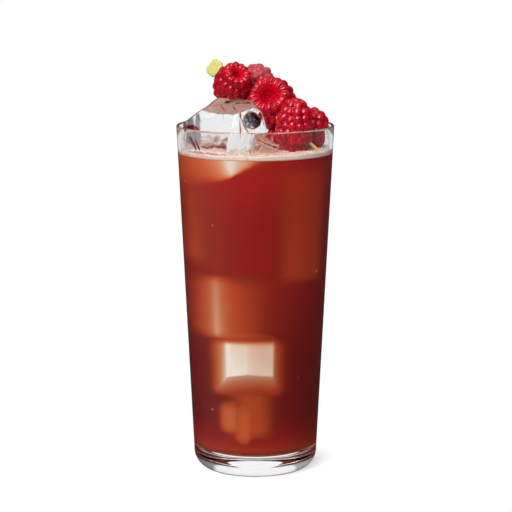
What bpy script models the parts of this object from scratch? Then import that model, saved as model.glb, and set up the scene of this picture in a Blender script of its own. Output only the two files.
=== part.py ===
"""A tall tumbler of iced punch, topped with raspberries on a bamboo pick.

Lengths are in metres, +Z is up and the front of the glass faces -Y. The origin is the middle of
the ring that the glass stands on.
"""

from dataclasses import dataclass
from math import copysign, cos, hypot, pi, radians, sin, tau
from random import Random

import bmesh
import bpy
import numpy as np
from mathutils import Matrix, Vector

# Clearance between two pieces that touch
GAP = 0.0003

# Tumbler: a straight tapered wall on a thick rounded foot
GLASS_HEIGHT = 0.160
RIM_RADIUS = 0.036
FOOT_RADIUS = 0.0284
HEEL_RADIUS = 0.0085
RIM_WALL = 0.0015
FOOT_WALL = 0.0021
FLOOR_HEIGHT = 0.0096
INNER_HEEL_RADIUS = 0.0065
PUNT_RADIUS = 0.0184
PUNT_DEPTH = 0.0045
ROUND_SEGMENTS = 60

# Drink and the froth on it
DRINK_LEVEL = 0.1474
FROTH_THICKNESS = 0.0014
FROTH_SWELL = 0.0005
FROTH_RINGS = 3

# Melted edges of the ice, and the flats that fit its sides to the round wall
ICE_EDGE = 0.0009
ICE_EDGE_ANGLE = 12
ICE_WALL_GAP = 5 * GAP
WALL_FLATS = 24

# Bamboo pick: a flat paddle, then a round stick with a sharpened end
PICK_END = Vector((-0.0208, 0.0110, 0.1865))
PICK_POINT = Vector((0.0288, -0.0140, 0.1494))
PADDLE_WIDTH = 0.0080
PADDLE_THICKNESS = 0.0015
PADDLE_LENGTH = 0.0075
PADDLE_CORNER = 0.0013
PADDLE_END_WIDTH = 0.0058
PADDLE_END_THICKNESS = 0.00135
PADDLE_SHOULDER = 0.0045
PADDLE_SQUARENESS = 0.35
STICK_DIAMETER = 0.0022
POINT_LENGTH = 0.0080
POINT_DIAMETER = 0.0006
PICK_SIDES = 12

# Body of a raspberry, as shares of its radius or of its length
BELLY_HEIGHT = 0.58
CREST_RADIUS = 0.70
HOLLOW_RADIUS = 0.50
LIP_HEIGHT = 0.25
HOLLOW_DEPTH = 0.55
LAST_ROW = 0.35
WELL_RINGS = ((0.15, 9), (0.6, 6))

# Druplets of a raspberry, as shares of a druplet's width
DRUPLET_DOME = 0.62
DRUPLET_RING = 6
DRUPLET_RING_RADIUS = 0.34
ROW_SPACING = 0.866
JITTER = 0.07
DOME_SPREAD = 0.05
ARC_SAMPLES = 48
ROOM_SEGMENTS = 20


@dataclass(frozen=True)
class Berry:
    """One raspberry: its size, where its middle lies and which way its hollow looks."""

    name: str
    radius: float
    length: float
    druplet: float
    centre: tuple
    looks: tuple
    seed: int
    picked: bool


BERRIES = (
    Berry(
        "raspberry_upper", 0.0082, 0.0165, 0.0039,
        (-0.0109, 0.0020, 0.1795), (0.33, -0.69, 0.64), 3, True,
    ),
    Berry(
        "raspberry_back", 0.0075, 0.0160, 0.0039,
        (0.0008, 0.0194, 0.1784), (-0.25, 0.75, -0.45), 5, False,
    ),
    Berry(
        "raspberry_middle", 0.0118, 0.0210, 0.0045,
        (0.0072, 0.0054, 0.1688), (-0.11, -0.79, 0.60), 8, True,
    ),
    Berry(
        "raspberry_low", 0.0052, 0.0110, 0.0036,
        (0.0100, 0.0022, 0.1532), (0.95, 0.30, -0.05), 34, False,
    ),
    Berry(
        "raspberry_front", 0.0082, 0.0245, 0.0041,
        (0.0176, -0.0112, 0.1608), (-0.06, 0.16, -0.98), 13, True,
    ),
    Berry(
        "raspberry_side", 0.0086, 0.0185, 0.0042,
        (0.0251, 0.0046, 0.1582), (-0.35, 0.45, -0.82), 21, False,
    ),
)


@dataclass(frozen=True)
class Ice:
    """One piece of ice: a block turned about the depth axis, with corners melted flat.

    A melted corner is a direction in the room and how far from the middle the flat lies.
    """

    name: str
    size: tuple
    centre: tuple
    roll: float
    tilt: float
    turn: float
    flats: tuple


ICE_PIECES = (
    Ice(
        "ice_block", (0.042, 0.026, 0.0295), (-0.0161, -0.0150, 0.1558), 35.6, 5.0, -14.0,
        (
            ((0.0, -0.177, 0.984), 0.0146),
            ((0.728, 0.0, 0.686), 0.0215),
            ((0.954, 0.0, 0.299), 0.0214),
            ((0.78, -0.58, -0.22), 0.0118),
        ),
    ),
    Ice("ice_corner", (0.0115, 0.011, 0.016), (0.0024, -0.0214, 0.1471), -22.0, 8.0, 0.0, ()),
    Ice("ice_rear", (0.016, 0.017, 0.034), (-0.0100, 0.0190, 0.1514), 4.0, -9.6, 8.0, ()),
)


def arc(centre, radii, start, end, steps):
    """Points of an elliptic arc in the half plane of a turned shape, angles in degrees."""
    angles = [radians(start + (end - start) * i / steps) for i in range(steps + 1)]
    return [(centre[0] + radii[0] * cos(a), centre[1] + radii[1] * sin(a)) for a in angles]


def outer_radius(z):
    """Radius of the tumbler's outer wall at a height."""
    share = (z - HEEL_RADIUS) / (GLASS_HEIGHT - HEEL_RADIUS)
    return FOOT_RADIUS + (RIM_RADIUS - FOOT_RADIUS) * share


def inner_radius(z):
    """Radius of the tumbler's inner wall at a height."""
    share = (z - HEEL_RADIUS) / (GLASS_HEIGHT - HEEL_RADIUS)
    return outer_radius(z) - FOOT_WALL - (RIM_WALL - FOOT_WALL) * share


def inside(level, clearance):
    """Half section of what fills the tumbler to a level, kept a clearance off its wall."""
    heel_top = FLOOR_HEIGHT + INNER_HEEL_RADIUS
    corner = (inner_radius(heel_top) - INNER_HEEL_RADIUS, heel_top)
    heel = INNER_HEEL_RADIUS - clearance
    wall = [(inner_radius(level) - clearance, level)]
    return [(0.0, FLOOR_HEIGHT + clearance)] + arc(corner, (heel, heel), -90, 0, 5) + wall


def move_to_scene(bm, name, material=None):
    """Turns a bmesh into a named object of the scene."""
    bmesh.ops.recalc_face_normals(bm, faces=bm.faces)
    mesh = bpy.data.meshes.new(name)
    bm.to_mesh(mesh)
    bm.free()
    thing = bpy.data.objects.new(name, mesh)
    bpy.context.scene.collection.objects.link(thing)
    if material:
        mesh.materials.append(material)
    return thing


def turned(profile, segments=ROUND_SEGMENTS):
    """A closed shape turned about Z from a half section that starts and ends on the axis."""
    bm = bmesh.new()
    points = [bm.verts.new((r, 0.0, z)) for r, z in profile]
    edges = [bm.edges.new(pair) for pair in zip(points, points[1:])]
    bmesh.ops.spin(
        bm, geom=points + edges, cent=(0, 0, 0), axis=(0, 0, 1), angle=tau, steps=segments
    )
    bmesh.ops.remove_doubles(bm, verts=bm.verts, dist=1e-6)
    return bm


def principled(name, colour, roughness, transmission=0.0, ior=1.45):
    """A Principled material with one colour."""
    material = bpy.data.materials.new(name)
    material.use_nodes = True
    shader = material.node_tree.nodes["Principled BSDF"]
    shader.inputs["Base Color"].default_value = (*colour, 1.0)
    shader.inputs["Roughness"].default_value = roughness
    shader.inputs["Metallic"].default_value = 0.0
    shader.inputs["Transmission Weight"].default_value = transmission
    shader.inputs["IOR"].default_value = ior
    return material


def smooth(thing, angle=35.0):
    """Shades round faces smooth and keeps edges over the angle crisp."""
    thing.data.shade_smooth()
    thing.data.set_sharp_from_angle(angle=radians(angle))


def cut(thing, cutters):
    """Takes the shapes of some cutters out of a thing."""
    group = bpy.data.collections.new("rooms_in_" + thing.name)
    for cutter in cutters:
        group.objects.link(cutter)
    modifier = thing.modifiers.new("rooms", "BOOLEAN")
    modifier.operation = "DIFFERENCE"
    modifier.operand_type = "COLLECTION"
    modifier.collection = group
    modifier.solver = "EXACT"


def hide_cutter(thing):
    """Marks a thing as a guide that only cuts others."""
    thing.hide_render = True
    thing.display_type = "WIRE"
    return thing


def make_glass():
    """The tumbler: one wall and floor, with a domed hollow under the foot."""
    heel = (FOOT_RADIUS - HEEL_RADIUS, HEEL_RADIUS)
    rest_inner = (PUNT_RADIUS, 0.0)
    underside = [(PUNT_RADIUS * s, PUNT_DEPTH * (1 - s * s)) for s in (0.0, 0.4, 0.75)]
    rim = (RIM_RADIUS - RIM_WALL / 2, GLASS_HEIGHT - RIM_WALL / 2)
    outside = underside + [rest_inner] + arc(heel, (HEEL_RADIUS, HEEL_RADIUS), -90, 0, 6)
    lip = arc(rim, (RIM_WALL / 2, RIM_WALL / 2), 0, 180, 4)
    cavity = inside(GLASS_HEIGHT - RIM_WALL / 2, 0.0)
    profile = outside + lip + cavity[-2::-1]
    clear_glass = principled("clear_glass", (0.96, 0.97, 0.97), 0.02, 1.0, 1.5)
    glass = move_to_scene(turned(profile), "glass", clear_glass)
    smooth(glass, 50.0)


def ice_planes(ice, growth):
    """The flats that bound a piece of ice, as a point and a direction each."""
    turn = Matrix.Rotation(radians(ice.turn), 3, "Z")
    tilt = Matrix.Rotation(radians(ice.tilt), 3, "X")
    roll = Matrix.Rotation(radians(-ice.roll), 3, "Y")
    faces = turn @ tilt @ roll
    centre = Vector(ice.centre)
    planes = []
    for axis, side in enumerate(ice.size):
        for sign in (-1, 1):
            normal = faces.col[axis] * sign
            planes.append((centre + normal * (side / 2 + growth), normal))
    for direction, distance in ice.flats:
        normal = Vector(direction).normalized()
        planes.append((centre + normal * (distance + growth), normal))
    slope = (RIM_RADIUS - FOOT_RADIUS) / (GLASS_HEIGHT - HEEL_RADIUS)
    reach = inner_radius(DRINK_LEVEL) - ICE_WALL_GAP
    for i in range(WALL_FLATS):
        angle = tau * i / WALL_FLATS
        normal = Vector((cos(angle), sin(angle), -slope)).normalized()
        foot = Vector((cos(angle) * reach, sin(angle) * reach, DRINK_LEVEL))
        planes.append((foot + normal * growth, normal))
    return planes


def make_ice(ice, material, growth=0.0):
    """A piece of ice cut from a large cube by its flats, with softened edges."""
    bm = bmesh.new()
    bmesh.ops.create_cube(bm, size=0.2, matrix=Matrix.Translation(Vector(ice.centre)))
    for point, normal in ice_planes(ice, growth):
        geometry = bm.verts[:] + bm.edges[:] + bm.faces[:]
        bmesh.ops.bisect_plane(bm, geom=geometry, plane_co=point, plane_no=normal, clear_outer=True)
        bmesh.ops.holes_fill(bm, edges=bm.edges[:], sides=0)
    bmesh.ops.remove_doubles(bm, verts=bm.verts, dist=1e-5)
    bmesh.ops.translate(bm, verts=bm.verts, vec=-Vector(ice.centre))
    thing = move_to_scene(bm, ice.name + ("_room" if growth else ""), material)
    thing.location = ice.centre
    bevel = thing.modifiers.new("melted_edges", "BEVEL")
    bevel.width = ICE_EDGE
    bevel.segments = 2
    bevel.limit_method = "ANGLE"
    bevel.angle_limit = radians(ICE_EDGE_ANGLE)
    smooth(thing)
    return thing


class BerrySurface:
    """The body under a raspberry's druplets, from the tip round the rim into the hollow."""

    def __init__(self, berry):
        relief = self.relief(berry.druplet)
        radius = berry.radius - relief
        bottom = relief - berry.length / 2
        top = berry.length / 2 - relief
        belly = bottom + BELLY_HEIGHT * (top - bottom)
        crest = CREST_RADIUS * radius
        hollow = HOLLOW_RADIUS * radius
        lip = LIP_HEIGHT * radius
        depth = HOLLOW_DEPTH * (top - bottom)
        tip_side = arc((0, belly), (radius, belly - bottom), -89, 0, ARC_SAMPLES)
        shoulder = arc((crest, belly), (radius - crest, top - belly), 0, 90, ARC_SAMPLES)
        rim = arc((crest, top - lip), (crest - hollow, lip), 90, 180, ARC_SAMPLES)
        well = arc((0, top - lip), (hollow, depth), 0, -88, ARC_SAMPLES)
        path = np.array(tip_side + shoulder[1:] + rim[1:] + well[1:])
        steps = np.diff(path, axis=0)
        lengths = np.hypot(steps[:, 0], steps[:, 1])
        middles = (path[1:, 0] + path[:-1, 0]) / 2
        self.path = path
        self.along = np.concatenate([[0.0], np.cumsum(lengths)])
        self.spread = np.concatenate([[0.0], np.cumsum(lengths / middles)])
        self.crest = self.along[2 * ARC_SAMPLES]
        self.well = self.along[3 * ARC_SAMPLES]
        self.spread -= np.interp(self.crest, self.along, self.spread)
        slope = np.gradient(path, self.along, axis=0)
        self.normal = np.stack([slope[:, 1], -slope[:, 0]], axis=1)

    @staticmethod
    def relief(druplet):
        """How far a druplet's top stands over the valleys between three of them."""
        dome = DRUPLET_DOME * druplet
        return dome - (dome**2 - (druplet / 3**0.5) ** 2) ** 0.5

    def radius_at(self, along):
        """Distance from the berry's axis at a place along the path."""
        return float(np.interp(along, self.along, self.path[:, 0]))

    def point(self, along, angle):
        """Place and outward direction on the body."""
        r, z = (np.interp(along, self.along, self.path[:, k]) for k in (0, 1))
        nr, nz = (np.interp(along, self.along, self.normal[:, k]) for k in (0, 1))
        place = Vector((r * cos(angle), r * sin(angle), z))
        outward = Vector((nr * cos(angle), nr * sin(angle), nz)).normalized()
        return place, outward

    def direction(self, along, angle):
        """The direction on a unit sphere that stands for a place, keeping small shapes."""
        spread = float(np.interp(along, self.along, self.spread))
        tilt = 2 * np.arctan(np.exp(spread))
        return Vector((sin(tilt) * cos(angle), sin(tilt) * sin(angle), -cos(tilt)))

    def locate(self, direction):
        """The place along the path and the angle that a direction stands for."""
        flat = hypot(direction.x, direction.y)
        spread = np.log(np.tan(np.arctan2(flat, -direction.z) / 2))
        along = float(np.interp(spread, self.spread, self.along))
        return along, float(np.arctan2(direction.y, direction.x))


def hull_of(directions):
    """The triangles between points on a unit sphere, as a bmesh and its points in order."""
    bm = bmesh.new()
    points = [bm.verts.new(d) for d in directions]
    result = bmesh.ops.convex_hull(bm, input=points)
    bm.verts.index_update()
    spare = set(result["geom_interior"] + result["geom_unused"])
    buried = [item for item in spare if isinstance(item, bmesh.types.BMVert)]
    bmesh.ops.delete(bm, geom=buried, context="VERTS")
    return bm, points


def druplet_rows(surface, berry, draw):
    """Places of the druplets, row by row from the tip to just inside the rim."""
    places = [(0.0, 0.0)]
    last = surface.crest + LAST_ROW * (surface.well - surface.crest)
    rows = round(last / (ROW_SPACING * berry.druplet))
    for row in range(1, rows + 1):
        along = last * row / rows
        count = max(5, round(tau * surface.radius_at(along) / berry.druplet))
        for i in range(count):
            angle = tau * (i + 0.5 * (row % 2) + JITTER * draw.uniform(-1, 1)) / count
            places.append((along + JITTER * berry.druplet * draw.uniform(-1, 1), angle))
    return places


def make_berry(berry, material):
    """A raspberry: one skin of domed druplets round a hollow, tip down before it is turned."""
    draw = Random(berry.seed)
    surface = BerrySurface(berry)
    druplets = druplet_rows(surface, berry, draw)
    well_span = surface.along[-1] - surface.well
    well = [
        (surface.well + well_span * share, tau * i / count)
        for share, count in WELL_RINGS
        for i in range(count)
    ]
    well.append((surface.along[-1], 0.0))

    # The valleys lie between neighbouring druplets
    bm, points = hull_of([surface.direction(*place) for place in druplets + well])
    tops = set(points[: len(druplets)])
    valleys = []
    for group in list(bm.faces) + list(bm.edges):
        if tops.issuperset(group.verts):
            middle = sum((v.co for v in group.verts), Vector()).normalized()
            valleys.append(surface.locate(middle))
    bm.free()

    # A ring of points round each druplet's top gives it its dome
    ring = []
    reach = DRUPLET_RING_RADIUS * berry.druplet
    for along, angle in druplets:
        for i in range(DRUPLET_RING):
            way = tau * (i + 0.5) / DRUPLET_RING
            if along < reach:
                ring.append((reach, way))
            else:
                aside = reach * cos(way) / surface.radius_at(along)
                ring.append((along + reach * sin(way), angle + aside))

    places = druplets + well + valleys + ring
    bm, points = hull_of([surface.direction(*place) for place in places])
    dome_radius = DRUPLET_DOME * berry.druplet
    domes = [
        (surface.point(*place)[0], dome_radius * draw.uniform(1 - DOME_SPREAD, 1 + DOME_SPREAD))
        for place in druplets
    ]
    valley_depth = dome_radius - surface.relief(berry.druplet)
    for vertex, place in zip(points, places):
        if not vertex.is_valid:
            continue
        spot, outward = surface.point(*place)
        height = max(dome**2 - (spot - top).length_squared for top, dome in domes)
        vertex.co = spot + outward * max(0.0, max(height, 0.0) ** 0.5 - valley_depth)
    thing = move_to_scene(bm, berry.name, material)
    place_berry(thing, berry)
    smooth(thing, 60.0)
    return thing


def place_berry(thing, berry):
    """Turns a berry's hollow to where it looks, and moves the berry to its place."""
    thing.location = berry.centre
    thing.rotation_mode = "QUATERNION"
    thing.rotation_quaternion = Vector(berry.looks).to_track_quat("Z", "Y")


def make_berry_room(berry):
    """The room that a berry takes up in the froth: its outside, without the hollow."""
    half = berry.length / 2 + GAP
    radius = (berry.radius + GAP) / cos(pi / ROOM_SEGMENTS)
    belly = -half + BELLY_HEIGHT * 2 * half
    crest = CREST_RADIUS * radius
    outside = arc((0, belly), (radius, belly + half), -90, 0, 6)
    shoulder = arc((crest, belly), (radius - crest, half - belly), 0, 90, 5)
    profile = outside + shoulder[1:] + [(0.0, half)]
    profile[0] = (0.0, -half)
    room = move_to_scene(turned(profile, ROOM_SEGMENTS), berry.name + "_room")
    place_berry(room, berry)
    return hide_cutter(room)


def make_pick(name, material=None, growth=0.0):
    """The bamboo pick, from its paddle to its point."""
    run = PICK_POINT - PICK_END
    length = run.length + growth
    along = run.normalized()
    side = along.cross(Vector((0, 1, 0))).normalized()
    up = side.cross(along)
    stick = STICK_DIAMETER / 2 + growth
    blade = (PADDLE_WIDTH / 2 + growth, PADDLE_THICKNESS / 2 + growth, PADDLE_SQUARENESS)
    blade_end = (PADDLE_END_WIDTH / 2 + growth, PADDLE_END_THICKNESS / 2 + growth, PADDLE_SQUARENESS)
    tip = POINT_DIAMETER / 2 + growth
    sections = (
        (-growth, blade_end),
        (PADDLE_CORNER, blade),
        (PADDLE_SHOULDER, blade),
        (PADDLE_LENGTH, (stick, stick, 1.0)),
        (length - POINT_LENGTH, (stick, stick, 1.0)),
        (length, (tip, tip, 1.0)),
    )
    bm = bmesh.new()
    rings = []
    for distance, (half_width, half_thickness, squareness) in sections:
        ring = []
        for i in range(PICK_SIDES):
            angle = tau * (i + 0.5) / PICK_SIDES
            across = copysign(abs(cos(angle)) ** squareness, cos(angle)) * half_width
            through = copysign(abs(sin(angle)) ** squareness, sin(angle)) * half_thickness
            ring.append(bm.verts.new(along * distance + side * across + up * through))
        rings.append(ring)
    for lower, upper in zip(rings, rings[1:]):
        for i in range(PICK_SIDES):
            j = (i + 1) % PICK_SIDES
            bm.faces.new((lower[i], lower[j], upper[j], upper[i]))
    bm.faces.new(rings[0])
    bm.faces.new(rings[-1])
    pick = move_to_scene(bm, name, material)
    pick.location = PICK_END
    smooth(pick)
    return pick


def make_drink(ice_rooms):
    """The punch, filling the glass to its level round the ice."""
    profile = inside(DRINK_LEVEL, GAP) + [(0.0, DRINK_LEVEL)]
    drink = move_to_scene(turned(profile), "drink", principled("punch", (0.30, 0.03, 0.02), 0.2))
    smooth(drink, 40.0)
    cut(drink, ice_rooms)


def froth_swell(x, y):
    """How far the froth's top stands over or under its middle height."""
    lean = (0.6 * x - 0.8 * y) / RIM_RADIUS
    ripple = sin(310 * x + 1.0) * cos(270 * y) + 0.6 * sin(520 * (x - y))
    return FROTH_SWELL * (0.7 * lean + 0.45 * ripple)


def make_froth(rooms):
    """The thin uneven froth on the drink, round the ice, the berries and the pick."""
    bottom = DRINK_LEVEL + GAP
    top = bottom + FROTH_THICKNESS
    radius = inner_radius(bottom) - GAP
    rings = [(radius * (FROTH_RINGS - i) / FROTH_RINGS, top) for i in range(FROTH_RINGS + 1)]
    bm = turned([(0.0, bottom), (radius, bottom)] + rings)
    for vertex in bm.verts:
        if vertex.co.z > bottom + FROTH_THICKNESS / 2:
            vertex.co.z += froth_swell(vertex.co.x, vertex.co.y)
    froth = move_to_scene(bm, "froth", principled("froth", (0.85, 0.66, 0.58), 0.7))
    smooth(froth)
    cut(froth, rooms)


def main():
    """Clears the scene and builds every piece."""
    for thing in list(bpy.data.objects):
        bpy.data.objects.remove(thing, do_unlink=True)
    make_glass()
    clear_ice = principled("clear_ice", (0.9, 0.93, 0.95), 0.05, 1.0, 1.31)
    ice_rooms = []
    for ice in ICE_PIECES:
        make_ice(ice, clear_ice)
        ice_rooms.append(hide_cutter(make_ice(ice, clear_ice, GAP)))
    make_pick("pick", principled("bamboo", (0.68, 0.66, 0.25), 0.5))
    channel = hide_cutter(make_pick("pick_channel", growth=GAP))
    flesh = principled("raspberry_flesh", (0.55, 0.01, 0.03), 0.3)
    berry_rooms = []
    for berry in BERRIES:
        thing = make_berry(berry, flesh)
        berry_rooms.append(make_berry_room(berry))
        if berry.picked:
            cut(thing, [channel])
    make_drink(ice_rooms)
    make_froth(ice_rooms + berry_rooms + [channel])


main()
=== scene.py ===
"""The looks of a tall tumbler of iced punch, topped with raspberries on a bamboo pick.

Lengths are in metres, +Z is up and the front of the tumbler faces -Y.
"""

import logging
from dataclasses import dataclass, field
from enum import Enum
from math import cos, hypot, pi, radians, sin, tau
from random import Random

import bmesh
import bpy
import numpy as np
from mathutils import Matrix, Vector, noise
from mathutils.kdtree import KDTree


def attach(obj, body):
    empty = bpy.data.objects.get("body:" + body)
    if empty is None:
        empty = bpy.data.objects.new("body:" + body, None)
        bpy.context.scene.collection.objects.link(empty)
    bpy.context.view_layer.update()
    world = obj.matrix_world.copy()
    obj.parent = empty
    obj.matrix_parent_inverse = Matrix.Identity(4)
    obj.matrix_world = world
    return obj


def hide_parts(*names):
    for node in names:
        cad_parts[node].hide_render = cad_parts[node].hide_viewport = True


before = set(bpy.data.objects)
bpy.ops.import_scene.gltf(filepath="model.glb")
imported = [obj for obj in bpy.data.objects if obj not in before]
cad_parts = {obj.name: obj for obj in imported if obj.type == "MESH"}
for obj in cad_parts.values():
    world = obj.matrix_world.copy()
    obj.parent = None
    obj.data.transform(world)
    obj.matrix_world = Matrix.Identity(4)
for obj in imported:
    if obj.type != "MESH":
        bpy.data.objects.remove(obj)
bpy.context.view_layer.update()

BODY = "root"
log = logging.getLogger("punch")

Triple = tuple[float, float, float]
Colour = tuple[float, float, float, float]
Section = list[tuple[float, float]]
Feed = bpy.types.NodeSocket | float | tuple
Material = bpy.types.Material

BLACK = (0.0, 0.0, 0.0, 1.0)
WHITE = (1.0, 1.0, 1.0, 1.0)

# Small help for meshes, node trees and modifiers


class Graph:
    """Builds one node tree, a node at a time."""

    def __init__(self, tree: bpy.types.NodeTree) -> None:
        """Starts on a tree. A group's own inputs and outputs are noted later.

        Args:
            tree: the tree that the nodes go into.
        """
        self.tree = tree
        self.start: bpy.types.NodeOutputs | None = None
        self.end: bpy.types.NodeInputs | None = None

    def add(
        self, kind: str, inputs: dict[int | str, Feed] | None = None, **settings: object,
    ) -> bpy.types.Node:
        """Adds a node.

        Args:
            kind: Blender's name for the kind of node.
            inputs: for each input, a value or the output socket that feeds it.
            settings: properties of the node itself.

        Returns:
            The new node.
        """
        node = self.tree.nodes.new(kind)
        for name, value in settings.items():
            setattr(node, name, value)
        for name, value in (inputs or {}).items():
            if isinstance(value, bpy.types.NodeSocket):
                self.tree.links.new(value, node.inputs[name])
            else:
                node.inputs[name].default_value = value
        return node

    def math(self, operation: str, *values: Feed, clamp: bool = False) -> bpy.types.NodeSocket:
        """A Math node on values or sockets. Returns its output."""
        inputs = dict(enumerate(values))
        return self.add("ShaderNodeMath", inputs, operation=operation, use_clamp=clamp).outputs[0]

    def mix(self, factor: Feed, one: Feed, other: Feed) -> bpy.types.NodeSocket:
        """Mixes two colours by a factor. Returns the mixed colour."""
        inputs = {0: factor, 6: one, 7: other}
        return self.add("ShaderNodeMix", inputs, data_type="RGBA").outputs[2]

    def ramp(self, value: Feed, low: float, high: float) -> bpy.types.NodeSocket:
        """Maps low to 0 and high to 1, smoothly and within those limits. Returns the result."""
        inputs = {"Value": value, "From Min": low, "From Max": high}
        return self.add("ShaderNodeMapRange", inputs, interpolation_type="SMOOTHSTEP").outputs[0]

    def place(self) -> bpy.types.NodeSocket:
        """A point's place in the part's own frame."""
        return self.add("ShaderNodeTexCoord").outputs["Object"]

    def height(self) -> bpy.types.NodeSocket:
        """A point's height over the tumbler's base."""
        return self.add("ShaderNodeSeparateXYZ", {0: self.place()}).outputs[2]

    def kept(self, name: str) -> bpy.types.NodeSocket:
        """A number that a piece keeps for each of its points."""
        return self.add("ShaderNodeAttribute", attribute_name=name).outputs["Fac"]

    def feed(self, socket: bpy.types.NodeSocket, node: bpy.types.Node, name: str) -> None:
        """Links an output to a node's named input."""
        self.tree.links.new(socket, node.inputs[name])

    def show(self, look: bpy.types.Node) -> None:
        """Makes a shader the one that the material shows."""
        self.feed(look.outputs[0], self.tree.nodes["Material Output"], "Surface")


def new_group(name: str, kind: str, takes: dict[str, str], gives: dict[str, str]) -> Graph:
    """Starts a node group with named sockets.

    Args:
        name: the group's name.
        kind: ShaderNodeTree or GeometryNodeTree.
        takes: each input's name and its kind of value, such as Float.
        gives: each output's name and its kind of value.

    Returns:
        A graph of the new group, which holds its Group Input and Group Output nodes.
    """
    tree = bpy.data.node_groups.new(name, kind)
    for way, sockets in (("INPUT", takes), ("OUTPUT", gives)):
        for socket, value in sockets.items():
            tree.interface.new_socket(socket, in_out=way, socket_type="NodeSocket" + value)
    graph = Graph(tree)
    graph.start = graph.add("NodeGroupInput").outputs
    graph.end = graph.add("NodeGroupOutput").inputs
    return graph


def colour(red: int, green: int, blue: int) -> Colour:
    """A linear colour from screen values.

    Args:
        red: the red value, 0 to 255.
        green: the green value, 0 to 255.
        blue: the blue value, 0 to 255.

    Returns:
        The colour as the shaders take it, with an alpha of 1.
    """
    linear = []
    for value in (red, green, blue):
        share = value / 255
        linear.append(share / 12.92 if share <= 0.04045 else ((share + 0.055) / 1.055) ** 2.4)
    return (*linear, 1.0)


def link(name: str, mesh: bpy.types.Mesh, material: Material | None = None) -> bpy.types.Object:
    """Puts a mesh into the scene as a smooth-shaded object.

    Args:
        name: the object's name.
        mesh: its mesh.
        material: its finish, where it has one already.

    Returns:
        The new object.
    """
    thing = bpy.data.objects.new(name, mesh)
    bpy.context.scene.collection.objects.link(thing)
    if mesh.polygons:
        mesh.shade_smooth()
    if material:
        dress(thing, material)
    return thing


def dress(thing: bpy.types.Object, material: bpy.types.Material) -> None:
    """Gives a thing one finish all over."""
    thing.data.materials.clear()
    thing.data.materials.append(material)


def mesh_object(
    name: str, points: list, faces: list, material: Material | None = None,
) -> bpy.types.Object:
    """A linked object from points and faces, with its faces pointing out.

    Args:
        name: the object's name.
        points: its points.
        faces: the numbers of each face's points.
        material: its finish, where it has one already.

    Returns:
        The new object.
    """
    mesh = bpy.data.meshes.new(name)
    mesh.from_pydata([tuple(p) for p in points], [], [tuple(f) for f in faces])
    bm = bmesh.new()
    bm.from_mesh(mesh)
    bmesh.ops.recalc_face_normals(bm, faces=bm.faces)
    bm.to_mesh(mesh)
    bm.free()
    return link(name, mesh, material)


def from_bmesh(name: str, bm: bmesh.types.BMesh) -> bpy.types.Object:
    """Turns a finished working mesh into a linked object.

    Args:
        name: the object's name.
        bm: the working mesh, which is freed.

    Returns:
        The new object.
    """
    mesh = bpy.data.meshes.new(name)
    bm.to_mesh(mesh)
    bm.free()
    return link(name, mesh)


def apply(thing: bpy.types.Object) -> bpy.types.Object:
    """Turns a thing's modifiers into a plain mesh at the origin.

    Args:
        thing: the object with the modifiers.

    Returns:
        The same object.
    """
    bpy.context.view_layer.update()
    depsgraph = bpy.context.evaluated_depsgraph_get()
    mesh = bpy.data.meshes.new_from_object(thing.evaluated_get(depsgraph))
    thing.modifiers.clear()
    thing.data = mesh
    mesh.name = thing.name
    return thing


def remove(*things: bpy.types.Object) -> None:
    """Removes guides that have done their work."""
    for thing in things:
        bpy.data.objects.remove(thing, do_unlink=True)


def grow(name: str, base: bpy.types.Object, graph: Graph, values: dict) -> bpy.types.Object:
    """Runs a geometry tree on an object and keeps the result as a plain mesh.

    Args:
        name: the result's name.
        base: the object that the tree starts from, which becomes the result.
        graph: the tree.
        values: a value for each of the tree's inputs, by name.

    Returns:
        The object with its new mesh.
    """
    modifier = base.modifiers.new("grow", "NODES")
    modifier.node_group = graph.tree
    for item in graph.tree.interface.items_tree:
        if item.in_out == "INPUT" and item.name in values:
            modifier[item.identifier] = values[item.name]
    apply(base)
    base.name = name
    return base


def join(name: str, *things: bpy.types.Object) -> bpy.types.Object:
    """Joins the meshes of several objects at the origin into the first.

    Args:
        name: the result's name.
        things: the objects, of which all but the first are removed.

    Returns:
        The first object.
    """
    bm = bmesh.new()
    for thing in things:
        bm.from_mesh(thing.data)
    bm.to_mesh(things[0].data)
    bm.free()
    remove(*things[1:])
    things[0].name = name
    things[0].data.shade_smooth()
    return things[0]


def remesh(thing: bpy.types.Object, voxel: float) -> bpy.types.Object:
    """Fuses overlapping shapes into one skin of small even faces.

    Args:
        thing: the object.
        voxel: the size of the faces.

    Returns:
        The same object.
    """
    modifier = thing.modifiers.new("fuse", "REMESH")
    modifier.mode = "VOXEL"
    modifier.voxel_size = voxel
    modifier.use_smooth_shade = True
    return apply(thing)


def coordinates(mesh: bpy.types.Mesh) -> np.ndarray:
    """The places of a mesh's points.

    Args:
        mesh: the mesh.

    Returns:
        The places, a row each.
    """
    places = np.empty(len(mesh.vertices) * 3)
    mesh.vertices.foreach_get("co", places)
    return places.reshape(-1, 3)


def keep_attribute(mesh: bpy.types.Mesh, name: str, values: np.ndarray) -> None:
    """Stores a number or a vector for each point of a mesh.

    Args:
        mesh: the mesh.
        name: the attribute's name.
        values: a number or a row of three for each point.
    """
    kind = "FLOAT" if values.ndim == 1 else "FLOAT_VECTOR"
    attribute = mesh.attributes.new(name, kind, "POINT")
    attribute.data.foreach_set("value" if values.ndim == 1 else "vector", values.ravel())


def finish_piece(piece: bpy.types.Object, node: str) -> None:
    """Makes a piece ride on the part and reports it.

    Args:
        piece: the piece.
        node: the solid that it stands for.
    """
    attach(piece, BODY)
    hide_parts(node)
    faces = sum(len(p.vertices) - 2 for p in piece.data.polygons)
    log.info("%s: %d triangles", piece.name, faces)


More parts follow.
